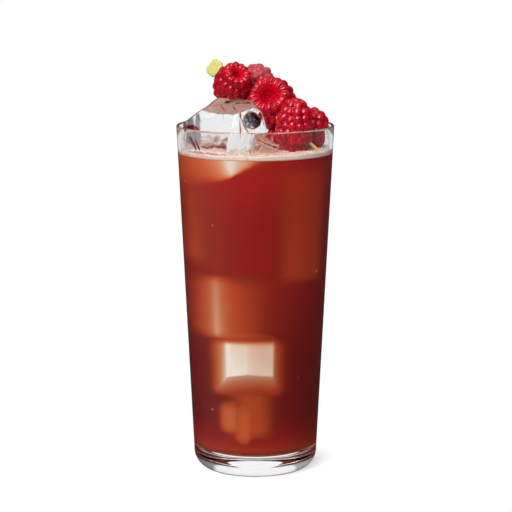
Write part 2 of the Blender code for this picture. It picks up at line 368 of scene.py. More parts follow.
def arc(centre: tuple, radii: tuple, start: float, end: float, steps: int) -> Section:
    """Points of an elliptic arc in the half plane of a turned shape.

    Args:
        centre: the arc's middle, as distance from the axis and height.
        radii: its radii outward and upward.
        start: the angle of its first point, in degrees.
        end: the angle of its last point.
        steps: how many steps lie between them.

    Returns:
        The points, both ends among them.
    """
    angles = [radians(start + (end - start) * i / steps) for i in range(steps + 1)]
    return [(centre[0] + radii[0] * cos(a), centre[1] + radii[1] * sin(a)) for a in angles]


def stretch(start: tuple, end: tuple, step: float) -> Section:
    """Points after start up to end, evenly placed.

    Args:
        start: where the line starts.
        end: where it ends.
        step: about how far apart the points lie.

    Returns:
        The points, the end among them.
    """
    (x, y), (far_x, far_y) = start, end
    count = max(1, round(hypot(far_x - x, far_y - y) / step))
    shares = [i / count for i in range(1, count + 1)]
    return [(x + (far_x - x) * s, y + (far_y - y) * s) for s in shares]


def turned(
    name: str, profile: Section, segments: int, material: Material | None = None,
) -> bpy.types.Object:
    """A closed shape turned about Z.

    Args:
        name: the object's name.
        profile: a half section that starts and ends on the axis.
        segments: how many flats go round.
        material: its finish, where it has one already.

    Returns:
        The new object.
    """
    points, rings = [], []
    for radius, height in profile:
        first = len(points)
        if radius < 1e-7:
            points.append((0.0, 0.0, height))
            rings.append([first] * segments)
        else:
            angles = [tau * i / segments for i in range(segments)]
            points.extend((radius * cos(a), radius * sin(a), height) for a in angles)
            rings.append(list(range(first, first + segments)))
    faces = []
    for low, high in zip(rings, rings[1:]):
        for i in range(segments):
            corners = (low[i], low[(i + 1) % segments], high[(i + 1) % segments], high[i])
            faces.append(list(dict.fromkeys(corners)))
    return mesh_object(name, points, faces, material)


# Balls on points, for the bubbles and the druplets


@dataclass(frozen=True)
class Ball:
    """One ball: its place, the ways that it faces, its sizes and the druplet it belongs to."""

    place: Vector
    outward: Vector
    forward: Vector
    sizes: Triple
    druplet: int = 0


def ball_tree(name: str) -> Graph:
    """A geometry tree that sets a ball on each point, turned and stretched as the point says.

    Args:
        name: the tree's name.

    Returns:
        The tree, which takes the balls' detail and their material.
    """
    takes = {"Geometry": "Geometry", "Detail": "Int", "Material": "Material"}
    g = new_group(name, "GeometryNodeTree", takes, {"Geometry": "Geometry"})
    outward, forward, size = (
        g.add("GeometryNodeInputNamedAttribute", {"Name": kept}, data_type="FLOAT_VECTOR")
        for kept in ("outward", "forward", "size")
    )
    inputs = {"Primary Axis": outward.outputs[0], "Secondary Axis": forward.outputs[0]}
    turn = g.add("FunctionNodeAxesToRotation", inputs, primary_axis="Z", secondary_axis="X")
    inputs = {"Radius": 1.0, "Subdivisions": g.start["Detail"]}
    ball = g.add("GeometryNodeMeshIcoSphere", inputs)
    inputs = {
        "Points": g.start["Geometry"], "Instance": ball.outputs[0],
        "Rotation": turn.outputs[0], "Scale": size.outputs[0],
    }
    placed = g.add("GeometryNodeInstanceOnPoints", inputs)
    real = g.add("GeometryNodeRealizeInstances", {0: placed.outputs[0]})
    inputs = {"Geometry": real.outputs[0], "Material": g.start["Material"]}
    dressed = g.add("GeometryNodeSetMaterial", inputs)
    g.tree.links.new(dressed.outputs[0], g.end["Geometry"])
    return g


def set_balls(
    name: str, balls: list[Ball], tree: Graph, detail: int, material: bpy.types.Material,
) -> bpy.types.Object:
    """Makes balls with a ball tree.

    Args:
        name: the result's name.
        balls: the balls.
        tree: the tree.
        detail: how finely each ball is divided.
        material: their finish.

    Returns:
        All the balls as one object.
    """
    mesh = bpy.data.meshes.new(name)
    mesh.from_pydata([tuple(ball.place) for ball in balls], [], [])
    keep_attribute(mesh, "outward", np.array([tuple(ball.outward) for ball in balls]))
    keep_attribute(mesh, "forward", np.array([tuple(ball.forward) for ball in balls]))
    keep_attribute(mesh, "size", np.array([ball.sizes for ball in balls]))
    return grow(name, link(name, mesh), tree, {"Detail": detail, "Material": material})


# The finishes


class Effects:
    """Shader groups that more than one finish uses, each built once."""

    built: dict[str, bpy.types.NodeTree] = {}
    specks_spread = 0.3
    specks_edge = 0.5

    @classmethod
    def ripple(cls) -> bpy.types.NodeTree:
        """Slow waves and a finer unevenness.

        Returns:
            A group that puts out a height of about 0 to 1.
        """
        if "ripple" not in cls.built:
            takes = {"Coarse": "Float", "Fine": "Float", "Share": "Float"}
            g = new_group("ripple", "ShaderNodeTree", takes, {"Height": "Float"})
            place = g.place()
            slow, fine = (
                g.add("ShaderNodeTexNoise", {"Vector": place, "Scale": g.start[s], "Detail": d})
                for s, d in (("Coarse", 1.0), ("Fine", 3.0))
            )
            inputs = {0: g.start["Share"], 2: slow.outputs[0], 3: fine.outputs[0]}
            g.tree.links.new(g.add("ShaderNodeMix", inputs).outputs[0], g.end["Height"])
            cls.built["ripple"] = g.tree
        return cls.built["ripple"]

    @classmethod
    def specks(cls) -> bpy.types.NodeTree:
        """Scattered round specks.

        Returns:
            A group that puts out a mask.
        """
        if "specks" not in cls.built:
            takes = {"Scale": "Float", "Size": "Float", "Share": "Float"}
            g = new_group("specks", "ShaderNodeTree", takes, {"Mask": "Float"})
            inputs = {"Vector": g.place(), "Scale": g.start["Scale"]}
            cell = g.add("ShaderNodeTexVoronoi", inputs)
            draw = g.add("ShaderNodeSeparateColor", {0: cell.outputs["Color"]})
            chosen = g.math("LESS_THAN", draw.outputs[0], g.start["Share"])
            spread = g.math("ADD", draw.outputs[1], cls.specks_spread)
            reach = g.math("MULTIPLY", g.start["Size"], spread)
            share = g.math("DIVIDE", cell.outputs["Distance"], reach)
            inside = g.math("SUBTRACT", 1.0, share, clamp=True)
            mask = g.math("MULTIPLY", chosen, g.ramp(inside, 0.0, cls.specks_edge))
            g.tree.links.new(mask, g.end["Mask"])
            cls.built["specks"] = g.tree
        return cls.built["specks"]


def use_effect(g: Graph, effect: bpy.types.NodeTree, *values: float) -> bpy.types.NodeSocket:
    """Places an effect's group in a material.

    Args:
        g: the material's graph.
        effect: the group.
        values: a value for each of its inputs, in their order.

    Returns:
        The group's output.
    """
    node = g.add("ShaderNodeGroup", node_tree=effect)
    for socket, value in zip(node.inputs, values):
        socket.default_value = value
    return node.outputs[0]


@dataclass(frozen=True)
class Finish:
    """The values that are the same all over a surface."""

    name: str
    roughness: float = 0.3
    transmission: float = 0.0
    ior: float = 1.45
    subsurface: float = 0.0
    subsurface_scale: float = 0.002
    subsurface_radius: Triple = (1.0, 0.3, 0.2)
    sheen: float = 0.0
    specular: float = 0.5

    def start(self) -> tuple[bpy.types.Material, Graph, bpy.types.Node]:
        """Starts a material.

        Returns:
            The new material, its graph and its shader with the plain values set.
        """
        material = bpy.data.materials.new(self.name)
        material.use_nodes = True
        shader = material.node_tree.nodes["Principled BSDF"]
        plain = {
            "Roughness": self.roughness,
            "Metallic": 0.0,
            "Transmission Weight": self.transmission,
            "IOR": self.ior,
            "Subsurface Weight": self.subsurface,
            "Subsurface Scale": self.subsurface_scale,
            "Subsurface Radius": self.subsurface_radius,
            "Sheen Weight": self.sheen,
            "Specular IOR Level": self.specular,
        }
        for name, value in plain.items():
            shader.inputs[name].default_value = value
        return material, Graph(material.node_tree), shader


@dataclass(frozen=True)
class Waves:
    """Waves in a surface: how many in a metre, the share of the fine ones, and their depth."""

    coarse: float
    fine: float
    share: float
    depth: float
    strength: float = 1.0

    def press(self, g: Graph, shader: bpy.types.Node) -> None:
        """Presses the waves into a shader's surface."""
        height = use_effect(g, Effects.ripple(), self.coarse, self.fine, self.share)
        bump(g, shader, height, self.depth, self.strength)


def bump(
    g: Graph, shader: bpy.types.Node, height: Feed, depth: float, strength: float = 1.0,
) -> None:
    """Feeds a height of 0 to 1 into a shader's normal.

    Args:
        g: the material's graph.
        shader: its shader.
        height: the height.
        depth: how deep the relief is at full height.
        strength: how much of it shows.
    """
    inputs = {"Height": height, "Distance": depth, "Strength": strength}
    g.feed(g.add("ShaderNodeBump", inputs).outputs[0], shader, "Normal")


def pass_soft_light(g: Graph, shader: bpy.types.Node) -> None:
    """Lets shadow rays and diffuse light straight through a clear shader, as thin glass does.

    Args:
        g: the material's graph.
        shader: its shader.
    """
    path = g.add("ShaderNodeLightPath").outputs
    soft = g.math("MAXIMUM", path["Is Shadow Ray"], path["Is Diffuse Ray"])
    through = g.add("ShaderNodeBsdfTransparent")
    inputs = {0: soft, 1: shader.outputs[0], 2: through.outputs[0]}
    g.show(g.add("ShaderNodeMixShader", inputs))


@dataclass(frozen=True)
class ClearGlass:
    """Polished clear glass with the faint waves of a pressed wall."""

    tint: Colour = (0.97, 0.975, 0.98, 1.0)
    finish: Finish = Finish("clear_glass", roughness=0.0, transmission=1.0, ior=1.5)
    waves: Waves = Waves(60.0, 260.0, 0.25, 0.00002, 0.6)

    def material(self) -> bpy.types.Material:
        """Builds the finish.

        Returns:
            The material.
        """
        material, g, shader = self.finish.start()
        shader.inputs["Base Color"].default_value = self.tint
        self.waves.press(g, shader)
        pass_soft_light(g, shader)
        return material


@dataclass(frozen=True)
class ClearIce:
    """Wet clear ice, faintly pink on its top faces (painted shade), faintly pink low down, and
    tinted within, with painted shade and light in its pockets.
    """

    clear: Colour = (0.97, 0.98, 0.99, 1.0)
    # painted shade: a pink-brown tint that faces looking up take, chosen by which way each face
    # points
    upper: Colour = (0.56, 0.44, 0.44, 1.0)
    lower: Colour = (0.965, 0.93, 0.93, 1.0)
    painted_top_shade: tuple[float, float] = (0.15, 0.60)
    low: tuple[float, float] = (0.1580, 0.1500)
    finish: Finish = Finish("clear_ice", roughness=0.02, transmission=1.0, ior=1.31)
    waves: Waves = Waves(150.0, 900.0, 0.2, 0.0003)

    def material(self) -> bpy.types.Material:
        """Builds the finish, which reads the skin attribute and the attribute with the ice's tints
        and its pockets' painted shade and light.

        Returns:
            The material.
        """
        material, g, shader = self.finish.start()
        normal = g.add("ShaderNodeNewGeometry").outputs["Normal"]
        facing = g.add("ShaderNodeSeparateXYZ", {0: normal}).outputs[2]
        # painted shade on the outer faces that look up
        painted_top_shade = g.math("MULTIPLY", g.ramp(facing, *self.painted_top_shade), g.kept("skin"))
        clear = g.mix(painted_top_shade, self.clear, self.upper)
        clear = g.mix(g.ramp(g.height(), *self.low), clear, self.lower)
        tint_and_painted_light = g.add("ShaderNodeAttribute", attribute_name="tint_and_painted_light").outputs["Vector"]
        tint = g.add("ShaderNodeVectorMath", {0: clear, 1: tint_and_painted_light}, operation="MULTIPLY")
        g.feed(tint.outputs[0], shader, "Base Color")
        self.waves.press(g, shader)
        pass_soft_light(g, shader)
        return material


@dataclass(frozen=True)
class PunchColours:
    """The punch's colour where it is deep, and painted lit and shaded colours where ice lies
    against the glass.

    Each of the three lights is where it starts, where it is full, and how much it adds.
    """

    deep: Colour = colour(120, 13, 11)
    lit_ice: Colour = colour(204, 194, 183)
    shaded_ice: Colour = colour(170, 128, 108)
    pulp: Colour = colour(214, 130, 110)
    pulp_specks: Triple = (260.0, 0.22, 0.04)
    pulp_share: float = 0.35
    fading: Triple = (0.35, 1.0, 1.6)
    faintest: float = 0.08
    cloud: Triple = (45.0, 180.0, 0.4)
    cloud_least: float = 0.86
    cloud_range: float = 0.28
    shaded: tuple[float, float] = (0.1, 0.75)
    dimmest: float = 0.62
    upper_light: Triple = (0.050, 0.108, 0.38)
    top_light: Triple = (0.115, 0.145, 0.30)
    low_light: Triple = (0.030, 0.012, 0.60)
    glass_to_punch: float = 0.893
    finish: Finish = Finish(
        "punch", roughness=0.35, subsurface=0.35, subsurface_scale=0.004, specular=0.15,
    )

    def material(self) -> bpy.types.Material:
        """Cloudy punch, which thins out over the ice in it as light fades in its depth.

        Returns:
            The material, which reads the punch's clear, lit and walled attributes.
        """
        material, g, shader = self.finish.start()
        clear = g.kept("clear")
        cloud = use_effect(g, Effects.ripple(), *self.cloud)
        even = g.math("ADD", self.cloud_least, g.math("MULTIPLY", cloud, self.cloud_range))
        uneven = g.math("MULTIPLY", clear, even)
        shares = [g.math("POWER", uneven, rate) for rate in self.fading]
        shares[0] = g.math("MULTIPLY", shares[0], g.ramp(clear, 0.0, self.faintest))
        share = g.add("ShaderNodeCombineXYZ", dict(enumerate(shares))).outputs[0]
        # painted light and shade: sunken ice faces that look at a fixed light take the lit copy,
        # the others the shaded one
        lit = g.ramp(g.kept("lit"), *self.shaded)
        ice = g.mix(lit, self.shaded_ice, self.lit_ice)
        inputs = {1: share, 4: self.depths(g), 5: ice}
        kinds = {"data_type": "VECTOR", "factor_mode": "NON_UNIFORM"}
        tint = g.add("ShaderNodeMix", inputs, **kinds).outputs[1]
        specks = use_effect(g, Effects.specks(), *self.pulp_specks)
        pulp = g.math("MULTIPLY", specks, self.pulp_share)
        g.feed(g.mix(pulp, tint, self.pulp), shader, "Base Color")
        fresnel = g.add("ShaderNodeFresnel", {"IOR": self.glass_to_punch}).outputs[0]
        flat = g.math("MULTIPLY", fresnel, g.kept("walled"))
        mirror = g.add("ShaderNodeBsdfAnisotropic", {"Roughness": 0.0, "Color": WHITE})
        inputs = {0: flat, 1: shader.outputs[0], 2: mirror.outputs[0]}
        g.show(g.add("ShaderNodeMixShader", inputs))
        return material

    def depths(self, g: Graph) -> bpy.types.NodeSocket:
        """The deep colour, brighter near the top and the floor, where light gets in.

        Args:
            g: the material's graph.

        Returns:
            The colour.
        """
        height = g.height()
        upper, top, low = (
            g.math("MULTIPLY", g.ramp(height, start, full), amount)
            for start, full, amount in (self.upper_light, self.top_light, self.low_light)
        )
        light = g.math("ADD", g.math("ADD", upper, self.dimmest), g.math("ADD", top, low))
        inputs = {0: self.deep[:3], "Scale": light}
        return g.add("ShaderNodeVectorMath", inputs, operation="SCALE").outputs["Vector"]


@dataclass(frozen=True)
class FrothColours:
    """Fine wet froth, cream with a pink tinge where the punch shows through."""

    thick: Colour = colour(194, 172, 160)
    thin: Colour = colour(184, 138, 120)
    cloud: Triple = (120.0, 700.0, 0.5)
    thinning: tuple[float, float] = (0.50, 0.72)
    cells: float = 1500.0
    cell_depth: float = 0.0003
    cell_strength: float = 0.5
    finish: Finish = Finish("froth", roughness=0.35, subsurface=0.5, subsurface_scale=0.0015)

    def material(self) -> bpy.types.Material:
        """Builds the finish.

        Returns:
            The material.
        """
        material, g, shader = self.finish.start()
        thin = g.ramp(use_effect(g, Effects.ripple(), *self.cloud), *self.thinning)
        g.feed(g.mix(thin, self.thick, self.thin), shader, "Base Color")
        cells = g.add("ShaderNodeTexVoronoi", {"Scale": self.cells, "Vector": g.place()})
        bump(g, shader, cells.outputs["Distance"], self.cell_depth, self.cell_strength)
        return material


@dataclass(frozen=True)
class BerryColours:
    """A raspberry's colours: druplets from fresh to ripe, shade painted in the creases between
    them, and painted light in the hollow.
    """

    fresh: Colour = colour(172, 3, 30)
    ripe: Colour = colour(144, 0, 20)
    # painted shade: the darker colour in the creases between druplets
    crease_shade: Colour = colour(130, 0, 16)
    # painted light: the brighter colour of the hollow, which also glows faintly
    within: Colour = colour(190, 8, 36)
    crease_shade_reach: float = 0.5
    down: float = 0.0
    roughness: float = 0.16
    glow: float = 0.05
    waves: Waves = Waves(500.0, 2600.0, 0.5, 0.00012, 0.4)

    def material(self, name: str) -> bpy.types.Material:
        """Juicy druplets that glow faintly in the hollow, where light comes through the wall.

        Args:
            name: the material's name.

        Returns:
            The material, which reads the berry's top, ripe and inside attributes.
        """
        finish = Finish(
            name, roughness=self.roughness, subsurface=0.35, subsurface_scale=0.0016,
            subsurface_radius=(1.0, 0.12, 0.14), sheen=self.down, ior=1.42,
        )
        material, g, shader = finish.start()
        top, ripe, inside = g.kept("top"), g.kept("ripe"), g.kept("inside")
        flesh = g.mix(ripe, self.fresh, self.ripe)
        # painted shade: away from each druplet's top the colour darkens towards the crease colour
        tint = g.mix(g.ramp(top, 0.0, self.crease_shade_reach), self.crease_shade, flesh)
        # painted light: the hollow gets a brighter colour and a faint glow, for light through the
        # wall
        g.feed(g.mix(inside, tint, self.within), shader, "Base Color")
        g.feed(g.mix(inside, BLACK, self.within), shader, "Emission Color")
        shader.inputs["Emission Strength"].default_value = self.glow
        self.waves.press(g, shader)
        return material


class Bloom(Enum):
    """How a raspberry's skin looks, with its colours."""

    FRESH = BerryColours()
    DOWNY = BerryColours(
        colour(166, 44, 56), colour(146, 30, 42), colour(128, 14, 26), down=0.20, roughness=0.4,
    )


@dataclass(frozen=True)
class Bamboo:
    """Pale green-yellow bamboo with straight fibres along the pick, tan at its tip."""

    along: Vector
    tip: float
    dark: Colour = colour(161, 158, 74)
    pale: Colour = colour(184, 181, 112)
    tan: Colour = colour(190, 148, 88)
    tan_start: float = 0.012
    tan_full: float = 0.004
    fibres: float = 2600.0
    fibre_length: float = 0.03
    fibre_range: tuple[float, float] = (0.3, 0.7)
    fibre_depth: float = 0.00008
    finish: Finish = Finish("bamboo", roughness=0.6, subsurface=0.1, specular=0.3)

    def material(self) -> bpy.types.Material:
        """Builds the finish along the pick's direction, up to the place of its tip.

        Returns:
            The material.
        """
        material, g, shader = self.finish.start()
        place = g.place()
        turn = self.along.to_track_quat("Z", "Y").inverted().to_euler()
        inputs = {"Vector": place, "Rotation": turn, "Scale": (1.0, 1.0, self.fibre_length)}
        straight = g.add("ShaderNodeMapping", inputs, vector_type="POINT").outputs[0]
        inputs = {"Vector": straight, "Scale": self.fibres, "Detail": 3.0}
        fibre = g.add("ShaderNodeTexNoise", inputs).outputs[0]
        tint = g.mix(g.ramp(fibre, *self.fibre_range), self.dark, self.pale)
        inputs = {0: place, 1: self.along}
        reach = g.add("ShaderNodeVectorMath", inputs, operation="DOT_PRODUCT").outputs["Value"]
        tanned = g.ramp(reach, self.tip - self.tan_start, self.tip - self.tan_full)
        g.feed(g.mix(tanned, tint, self.tan), shader, "Base Color")
        bump(g, shader, fibre, self.fibre_depth)
        return material


# The tumbler


@dataclass
class Tumbler:
    """A straight tapered wall on a thick rounded foot."""

    height: float = 0.160
    rim_radius: float = 0.036
    foot_radius: float = 0.0284
    heel_radius: float = 0.0085
    rim_wall: float = 0.0015
    foot_wall: float = 0.0021
    floor_height: float = 0.0096
    inner_heel: float = 0.0065
    punt_radius: float = 0.0184
    punt_depth: float = 0.0045
    segments: int = 216
    inner_steps: int = 14
    foot_steps: int = 24
    lip_steps: int = 12
    foot_step: float = 0.0009
    wall_step: float = 0.004

    def share(self, height: float) -> float:
        """How far up the wall a height lies, from 0 at the heel to 1 at the rim."""
        return (height - self.heel_radius) / (self.height - self.heel_radius)

    def outer_radius(self, height: float) -> float:
        """Radius of the outer wall at a height."""
        return self.foot_radius + (self.rim_radius - self.foot_radius) * self.share(height)

    def inner_radius(self, height: float) -> float:
        """Radius of the inner wall at a height."""
        thinning = (self.rim_wall - self.foot_wall) * self.share(height)
        return self.outer_radius(height) - self.foot_wall - thinning

    def inside(self, level: float, reach: float, step: float) -> Section:
        """Half section of what fills the tumbler.

        Args:
            level: height of the filling's top.
            reach: how far it reaches into the wall.
            step: distance between points up the wall and across the floor.

        Returns:
            Points from the floor's middle to the top of the wall.
        """
        top = self.floor_height + self.inner_heel
        corner = (self.inner_radius(top) - self.inner_heel, top)
        heel = self.inner_heel + reach
        bottom = (0.0, self.floor_height - reach)
        curve = arc(corner, (heel, heel), -90, 0, self.inner_steps)
        wall = stretch(curve[-1], (self.inner_radius(level) + reach, level), step)
        return [bottom] + stretch(bottom, curve[0], 2 * step) + curve[1:] + wall

    def build(self) -> bpy.types.Object:
        """The glass itself, as one closed wall.

        Returns:
            The new object.
        """
        heel = (self.foot_radius - self.heel_radius, self.heel_radius)
        shares = [i / self.foot_steps for i in range(self.foot_steps)]
        punt = [(self.punt_radius * s, self.punt_depth * (1 - s * s)) for s in shares]
        ring = (self.punt_radius, 0.0)
        foot = stretch(ring, (heel[0], 0.0), self.foot_step)
        outside = arc(heel, (self.heel_radius,) * 2, -90, 0, self.foot_steps)[1:]
        half = self.rim_wall / 2
        middle = (self.rim_radius - half, self.height - half)
        lip = arc(middle, (half, half), 0, 180, self.lip_steps)
        wall = stretch(outside[-1], lip[0], self.wall_step)[:-1]
        inner = self.inside(self.height - half, 0.0, self.wall_step)[:-1]
        profile = punt + [ring] + foot + outside + wall + lip + inner[::-1]
        return turned("tumbler", profile, self.segments, ClearGlass().material())


# The ice

WALL_FLATS = 24
WALL_CLEARANCE = 0.0015
SUNKEN_CLEARANCE = 0.0004
ROOM_GROWTH = -0.0002


@dataclass(frozen=True)
class Ice:
    """One piece of ice: a block turned about three axes, with corners melted flat.

    A melted corner is a direction in the room and how far from the middle the flat lies.
    """

    name: str
    size: Triple
    centre: Triple
    roll: float = 0.0
    tilt: float = 0.0
    turn: float = 0.0
    flats: tuple[tuple[Triple, float], ...] = ()
    blank: float = 0.2
    merge: float = 1e-5

    def planes(self, tumbler: Tumbler, clearance: float) -> list[tuple[Vector, Vector]]:
        """The flats that bound the piece inside the round wall.

        Args:
            tumbler: the glass that holds it.
            clearance: how far it stays off the inner wall.

        Returns:
            For each flat a point of it and its outward direction.
        """
        turn = Matrix.Rotation(radians(self.turn), 3, "Z")
        tilt = Matrix.Rotation(radians(self.tilt), 3, "X")
        roll = Matrix.Rotation(radians(-self.roll), 3, "Y")
        faces = turn @ tilt @ roll
        centre = Vector(self.centre)
        planes = []
        for axis, side in enumerate(self.size):
            for sign in (-1, 1):
                normal = faces.col[axis] * sign
                planes.append((centre + normal * side / 2, normal))
        for direction, distance in self.flats:
            normal = Vector(direction).normalized()
            planes.append((centre + normal * distance, normal))
        rise = tumbler.height - tumbler.heel_radius
        slope = (tumbler.rim_radius - tumbler.foot_radius) / rise
        level = self.centre[2]
        reach = tumbler.inner_radius(level) - clearance
        for i in range(WALL_FLATS):
            angle = tau * i / WALL_FLATS
            normal = Vector((cos(angle), sin(angle), -slope)).normalized()
            point = Vector((cos(angle) * reach, sin(angle) * reach, level))
            if (point - centre).dot(normal) < self.half_diagonal():
                planes.append((point, normal))
        return planes

    def half_diagonal(self) -> float:
        """Half the distance between the block's furthest corners."""
        return Vector(self.size).length / 2

    def build(self, tumbler: Tumbler, growth: float = 0.0) -> bpy.types.Object:
        """The piece, cut from a large cube by its flats.

        Args:
            tumbler: the glass that holds it.
            growth: how much larger than its true size it is made.

        Returns:
            The new object, with sharp edges.
        """
        bm = bmesh.new()
        matrix = Matrix.Translation(Vector(self.centre))
        bmesh.ops.create_cube(bm, size=self.blank, matrix=matrix)
        for point, normal in self.planes(tumbler, WALL_CLEARANCE):
            geometry = bm.verts[:] + bm.edges[:] + bm.faces[:]
            cut = {"plane_co": point + normal * growth, "plane_no": normal}
            bmesh.ops.bisect_plane(bm, geom=geometry, clear_outer=True, **cut)
            bmesh.ops.holes_fill(bm, edges=bm.edges[:], sides=0)
        bmesh.ops.remove_doubles(bm, verts=bm.verts, dist=self.merge)
        bmesh.ops.recalc_face_normals(bm, faces=bm.faces)
        return from_bmesh(self.name, bm)

    def seen(
        self, tumbler: Tumbler, places: np.ndarray, way: np.ndarray, light: np.ndarray,
    ) -> tuple[np.ndarray, ...]:
        """Where straight rays enter and leave the piece.

        Args:
            tumbler: the glass that holds it.
            places: where the rays start, a row each.
            way: their directions, a row each.
            light: the direction that the light comes from.

        Returns:
            The numbers of the rays that pass near, how far each goes before the piece and
            within it, and how squarely the face where it enters looks at the light.
        """
        towards = np.array(self.centre) - places
        ahead = np.sum(towards * way, axis=1)
        off_course = np.sum(towards**2, axis=1) - ahead**2
        near = np.nonzero(off_course < self.half_diagonal() ** 2)[0]
        start, path = places[near], way[near]
        enter, leave = np.zeros(len(near)), np.ones(len(near))
        shade = np.ones(len(near))
        for point, normal in self.planes(tumbler, SUNKEN_CLEARANCE):
            x, y, z = normal
            slope = path[:, 0] * x + path[:, 1] * y + path[:, 2] * z
            gap = point.dot(normal) - (start[:, 0] * x + start[:, 1] * y + start[:, 2] * z)
            with np.errstate(divide="ignore", invalid="ignore"):
                meets = gap / slope
            nearer = (slope < 0) & (meets > enter)
            enter = np.where(nearer, meets, enter)
            shade = np.where(nearer, max(0.0, float(light @ np.array(normal))), shade)
            leave = np.where(slope > 0, np.minimum(leave, meets), leave)
        return near, enter, np.maximum(leave - enter, 0.0), shade


FLOATING_ICE = (
    Ice(
        "ice_block", (0.042, 0.026, 0.0295), (-0.0161, -0.0150, 0.1558), 35.6, 5.0, -14.0,
        (
            ((0.0, -0.177, 0.984), 0.0146),
            ((0.728, 0.0, 0.686), 0.0215),
            ((0.954, 0.0, 0.299), 0.0214),
            ((0.78, -0.58, -0.22), 0.0118),
        ),
    ),
    Ice("ice_corner", (0.0115, 0.011, 0.016), (0.0024, -0.0214, 0.1471), -22.0, 8.0),
    Ice("ice_rear", (0.016, 0.017, 0.034), (-0.0100, 0.0190, 0.1514), 4.0, -9.6, 8.0),
)
SUNKEN_ICE = (
    Ice(
        "ice_shoulder", (0.047, 0.040, 0.030), (-0.0150, -0.0150, 0.1450),
        flats=(
            ((-0.89, -0.42, -0.18), 0.0028),
            ((0.212, -0.977, 0.0), 0.0166),
            ((0.429, -0.903, 0.0), 0.0185),
            ((0.54, 0.0, -0.84), 0.0068),
        ),
    ),
    Ice(
        "ice_left", (0.0150, 0.0146, 0.0350), (-0.0090, -0.0040, 0.1175),
        flats=(((-0.75, -0.66, 0.0), 0.0087), ((0.6, -0.8, 0.0), 0.0077)),
    ),
    Ice(
        "ice_upper", (0.030, 0.0199, 0.0260), (-0.0060, -0.0080, 0.0799), turn=18.0,
        flats=(
            ((-1.0, 0.0, 0.0), 0.0088),
            ((0.81, -0.585, 0.0), 0.0110),
            ((0.951, 0.309, 0.0), 0.0114),
        ),
    ),
    Ice(
        "ice_pale", (0.0198, 0.0146, 0.0235), (-0.0025, -0.0200, 0.0523),
        flats=(
            ((-0.18, -0.984, 0.0), 0.0069),
            ((0.10, -0.995, 0.0), 0.0067),
            ((0.0, -0.72, -0.69), 0.0067),
        ),
    ),
    Ice("ice_low", (0.0036, 0.012, 0.0115), (-0.0058, -0.0121, 0.0290), turn=-25.6),
    Ice("ice_deep", (0.0080, 0.010, 0.0210), (-0.0006, -0.0110, 0.0315), turn=-2.0),
    Ice("ice_leg", (0.0026, 0.010, 0.0150), (-0.0028, -0.0139, 0.0257), turn=-11.2),
    Ice("ice_right", (0.0120, 0.0100, 0.0500), (0.0115, -0.0109, 0.1175), turn=40.0),
    Ice("ice_back_high", (0.026, 0.022, 0.0280), (0.0080, 0.0180, 0.1235), 8.0, 0.0, 24.0),
    Ice("ice_back_middle", (0.027, 0.024, 0.0270), (-0.0060, 0.0165, 0.0880), -6.0, 4.0, -18.0),
    Ice("ice_back_low", (0.024, 0.024, 0.0260), (0.0070, 0.0150, 0.0500), 5.0, 0.0, 35.0),
)


def cut_rooms(piece: bpy.types.Object, tumbler: Tumbler) -> None:
    """Cuts the rooms of the floating ice out of a piece.

    Args:
        piece: the piece.
        tumbler: the glass that holds it.
    """
    rooms = [ice.build(tumbler, ROOM_GROWTH) for ice in FLOATING_ICE]
    group = bpy.data.collections.new("rooms")
    for room in rooms:
        group.objects.link(room)
    cut = piece.modifiers.new("rooms", "BOOLEAN")
    cut.operation = "DIFFERENCE"
    cut.operand_type = "COLLECTION"
    cut.collection = group
    cut.solver = "EXACT"
    apply(piece)
    remove(*rooms)


class Cavity(Enum):
    """What a cavity in the ice looks like."""

    # painted shade on the wall, with painted light at its fringe
    DARK = "dark, with a lit fringe"
    CRIMSON = "crimson"
    CLEAR = "clear"


@dataclass(frozen=True)
class Pocket:
    """A cavity in the ice: a rounded shell, turned about two axes."""

    name: str
    kind: Cavity
    centre: Triple
    sizes: Triple
    roll: float
    turn: float = 0.0
    detail: int = 4
    unevenness: float = 0.10
    lumps: float = 2.3
    lump_spread: float = 300.0

    def build(self) -> bpy.types.Object:
        """The cavity's wall, with its faces pointing into it.

        Returns:
            The new object.
        """
        bm = bmesh.new()
        bmesh.ops.create_icosphere(bm, subdivisions=self.detail, radius=1.0)
        rotation = Matrix.Rotation(radians(self.turn), 4, "Z")
        rotation = rotation @ Matrix.Rotation(radians(self.roll), 4, "Y")
        apart = Vector(self.centre) * self.lump_spread
        for vertex in bm.verts:
            ripple = 1.0 + self.unevenness * noise.noise(vertex.co * self.lumps + apart)
            vertex.co = Vector(p * s * ripple for p, s in zip(vertex.co, self.sizes))
        matrix = Matrix.Translation(self.centre) @ rotation
        bmesh.ops.transform(bm, matrix=matrix, verts=bm.verts)
        bmesh.ops.reverse_faces(bm, faces=bm.faces)
        return from_bmesh(self.name, bm)


DARK, CRIMSON, CLEAR = Cavity.DARK, Cavity.CRIMSON, Cavity.CLEAR
POCKETS = (
    Pocket("pocket", DARK, (-0.0020, -0.0205, 0.1640), (0.0047, 0.0016, 0.0041), 25.0),
    Pocket("streak_a", CRIMSON, (-0.0285, -0.0170, 0.1600), (0.0044, 0.0008, 0.0019), 6.0, -30.0),
    Pocket("streak_b", CRIMSON, (-0.0272, -0.0185, 0.1535), (0.0008, 0.0006, 0.0036), -28.0),
    Pocket("streak_c", CRIMSON, (-0.0252, -0.0195, 0.1530), (0.0006, 0.0006, 0.0030), -28.0),
    Pocket("needle_a", CLEAR, (-0.0145, -0.0190, 0.1678), (0.00022, 0.0020, 0.0034), -21.0),
    Pocket("needle_b", CLEAR, (-0.0094, -0.0190, 0.1680), (0.00022, 0.0020, 0.0030), -19.0),
    Pocket("needle_c", CLEAR, (-0.0072, -0.0225, 0.1600), (0.00022, 0.0014, 0.0044), -11.0),
    Pocket("needle_d", CLEAR, (-0.0058, -0.0220, 0.1630), (0.00030, 0.0012, 0.0030), -30.0),
    Pocket("needle_e", CLEAR, (-0.0040, -0.0225, 0.1600), (0.00035, 0.0012, 0.0026), -35.0),
)


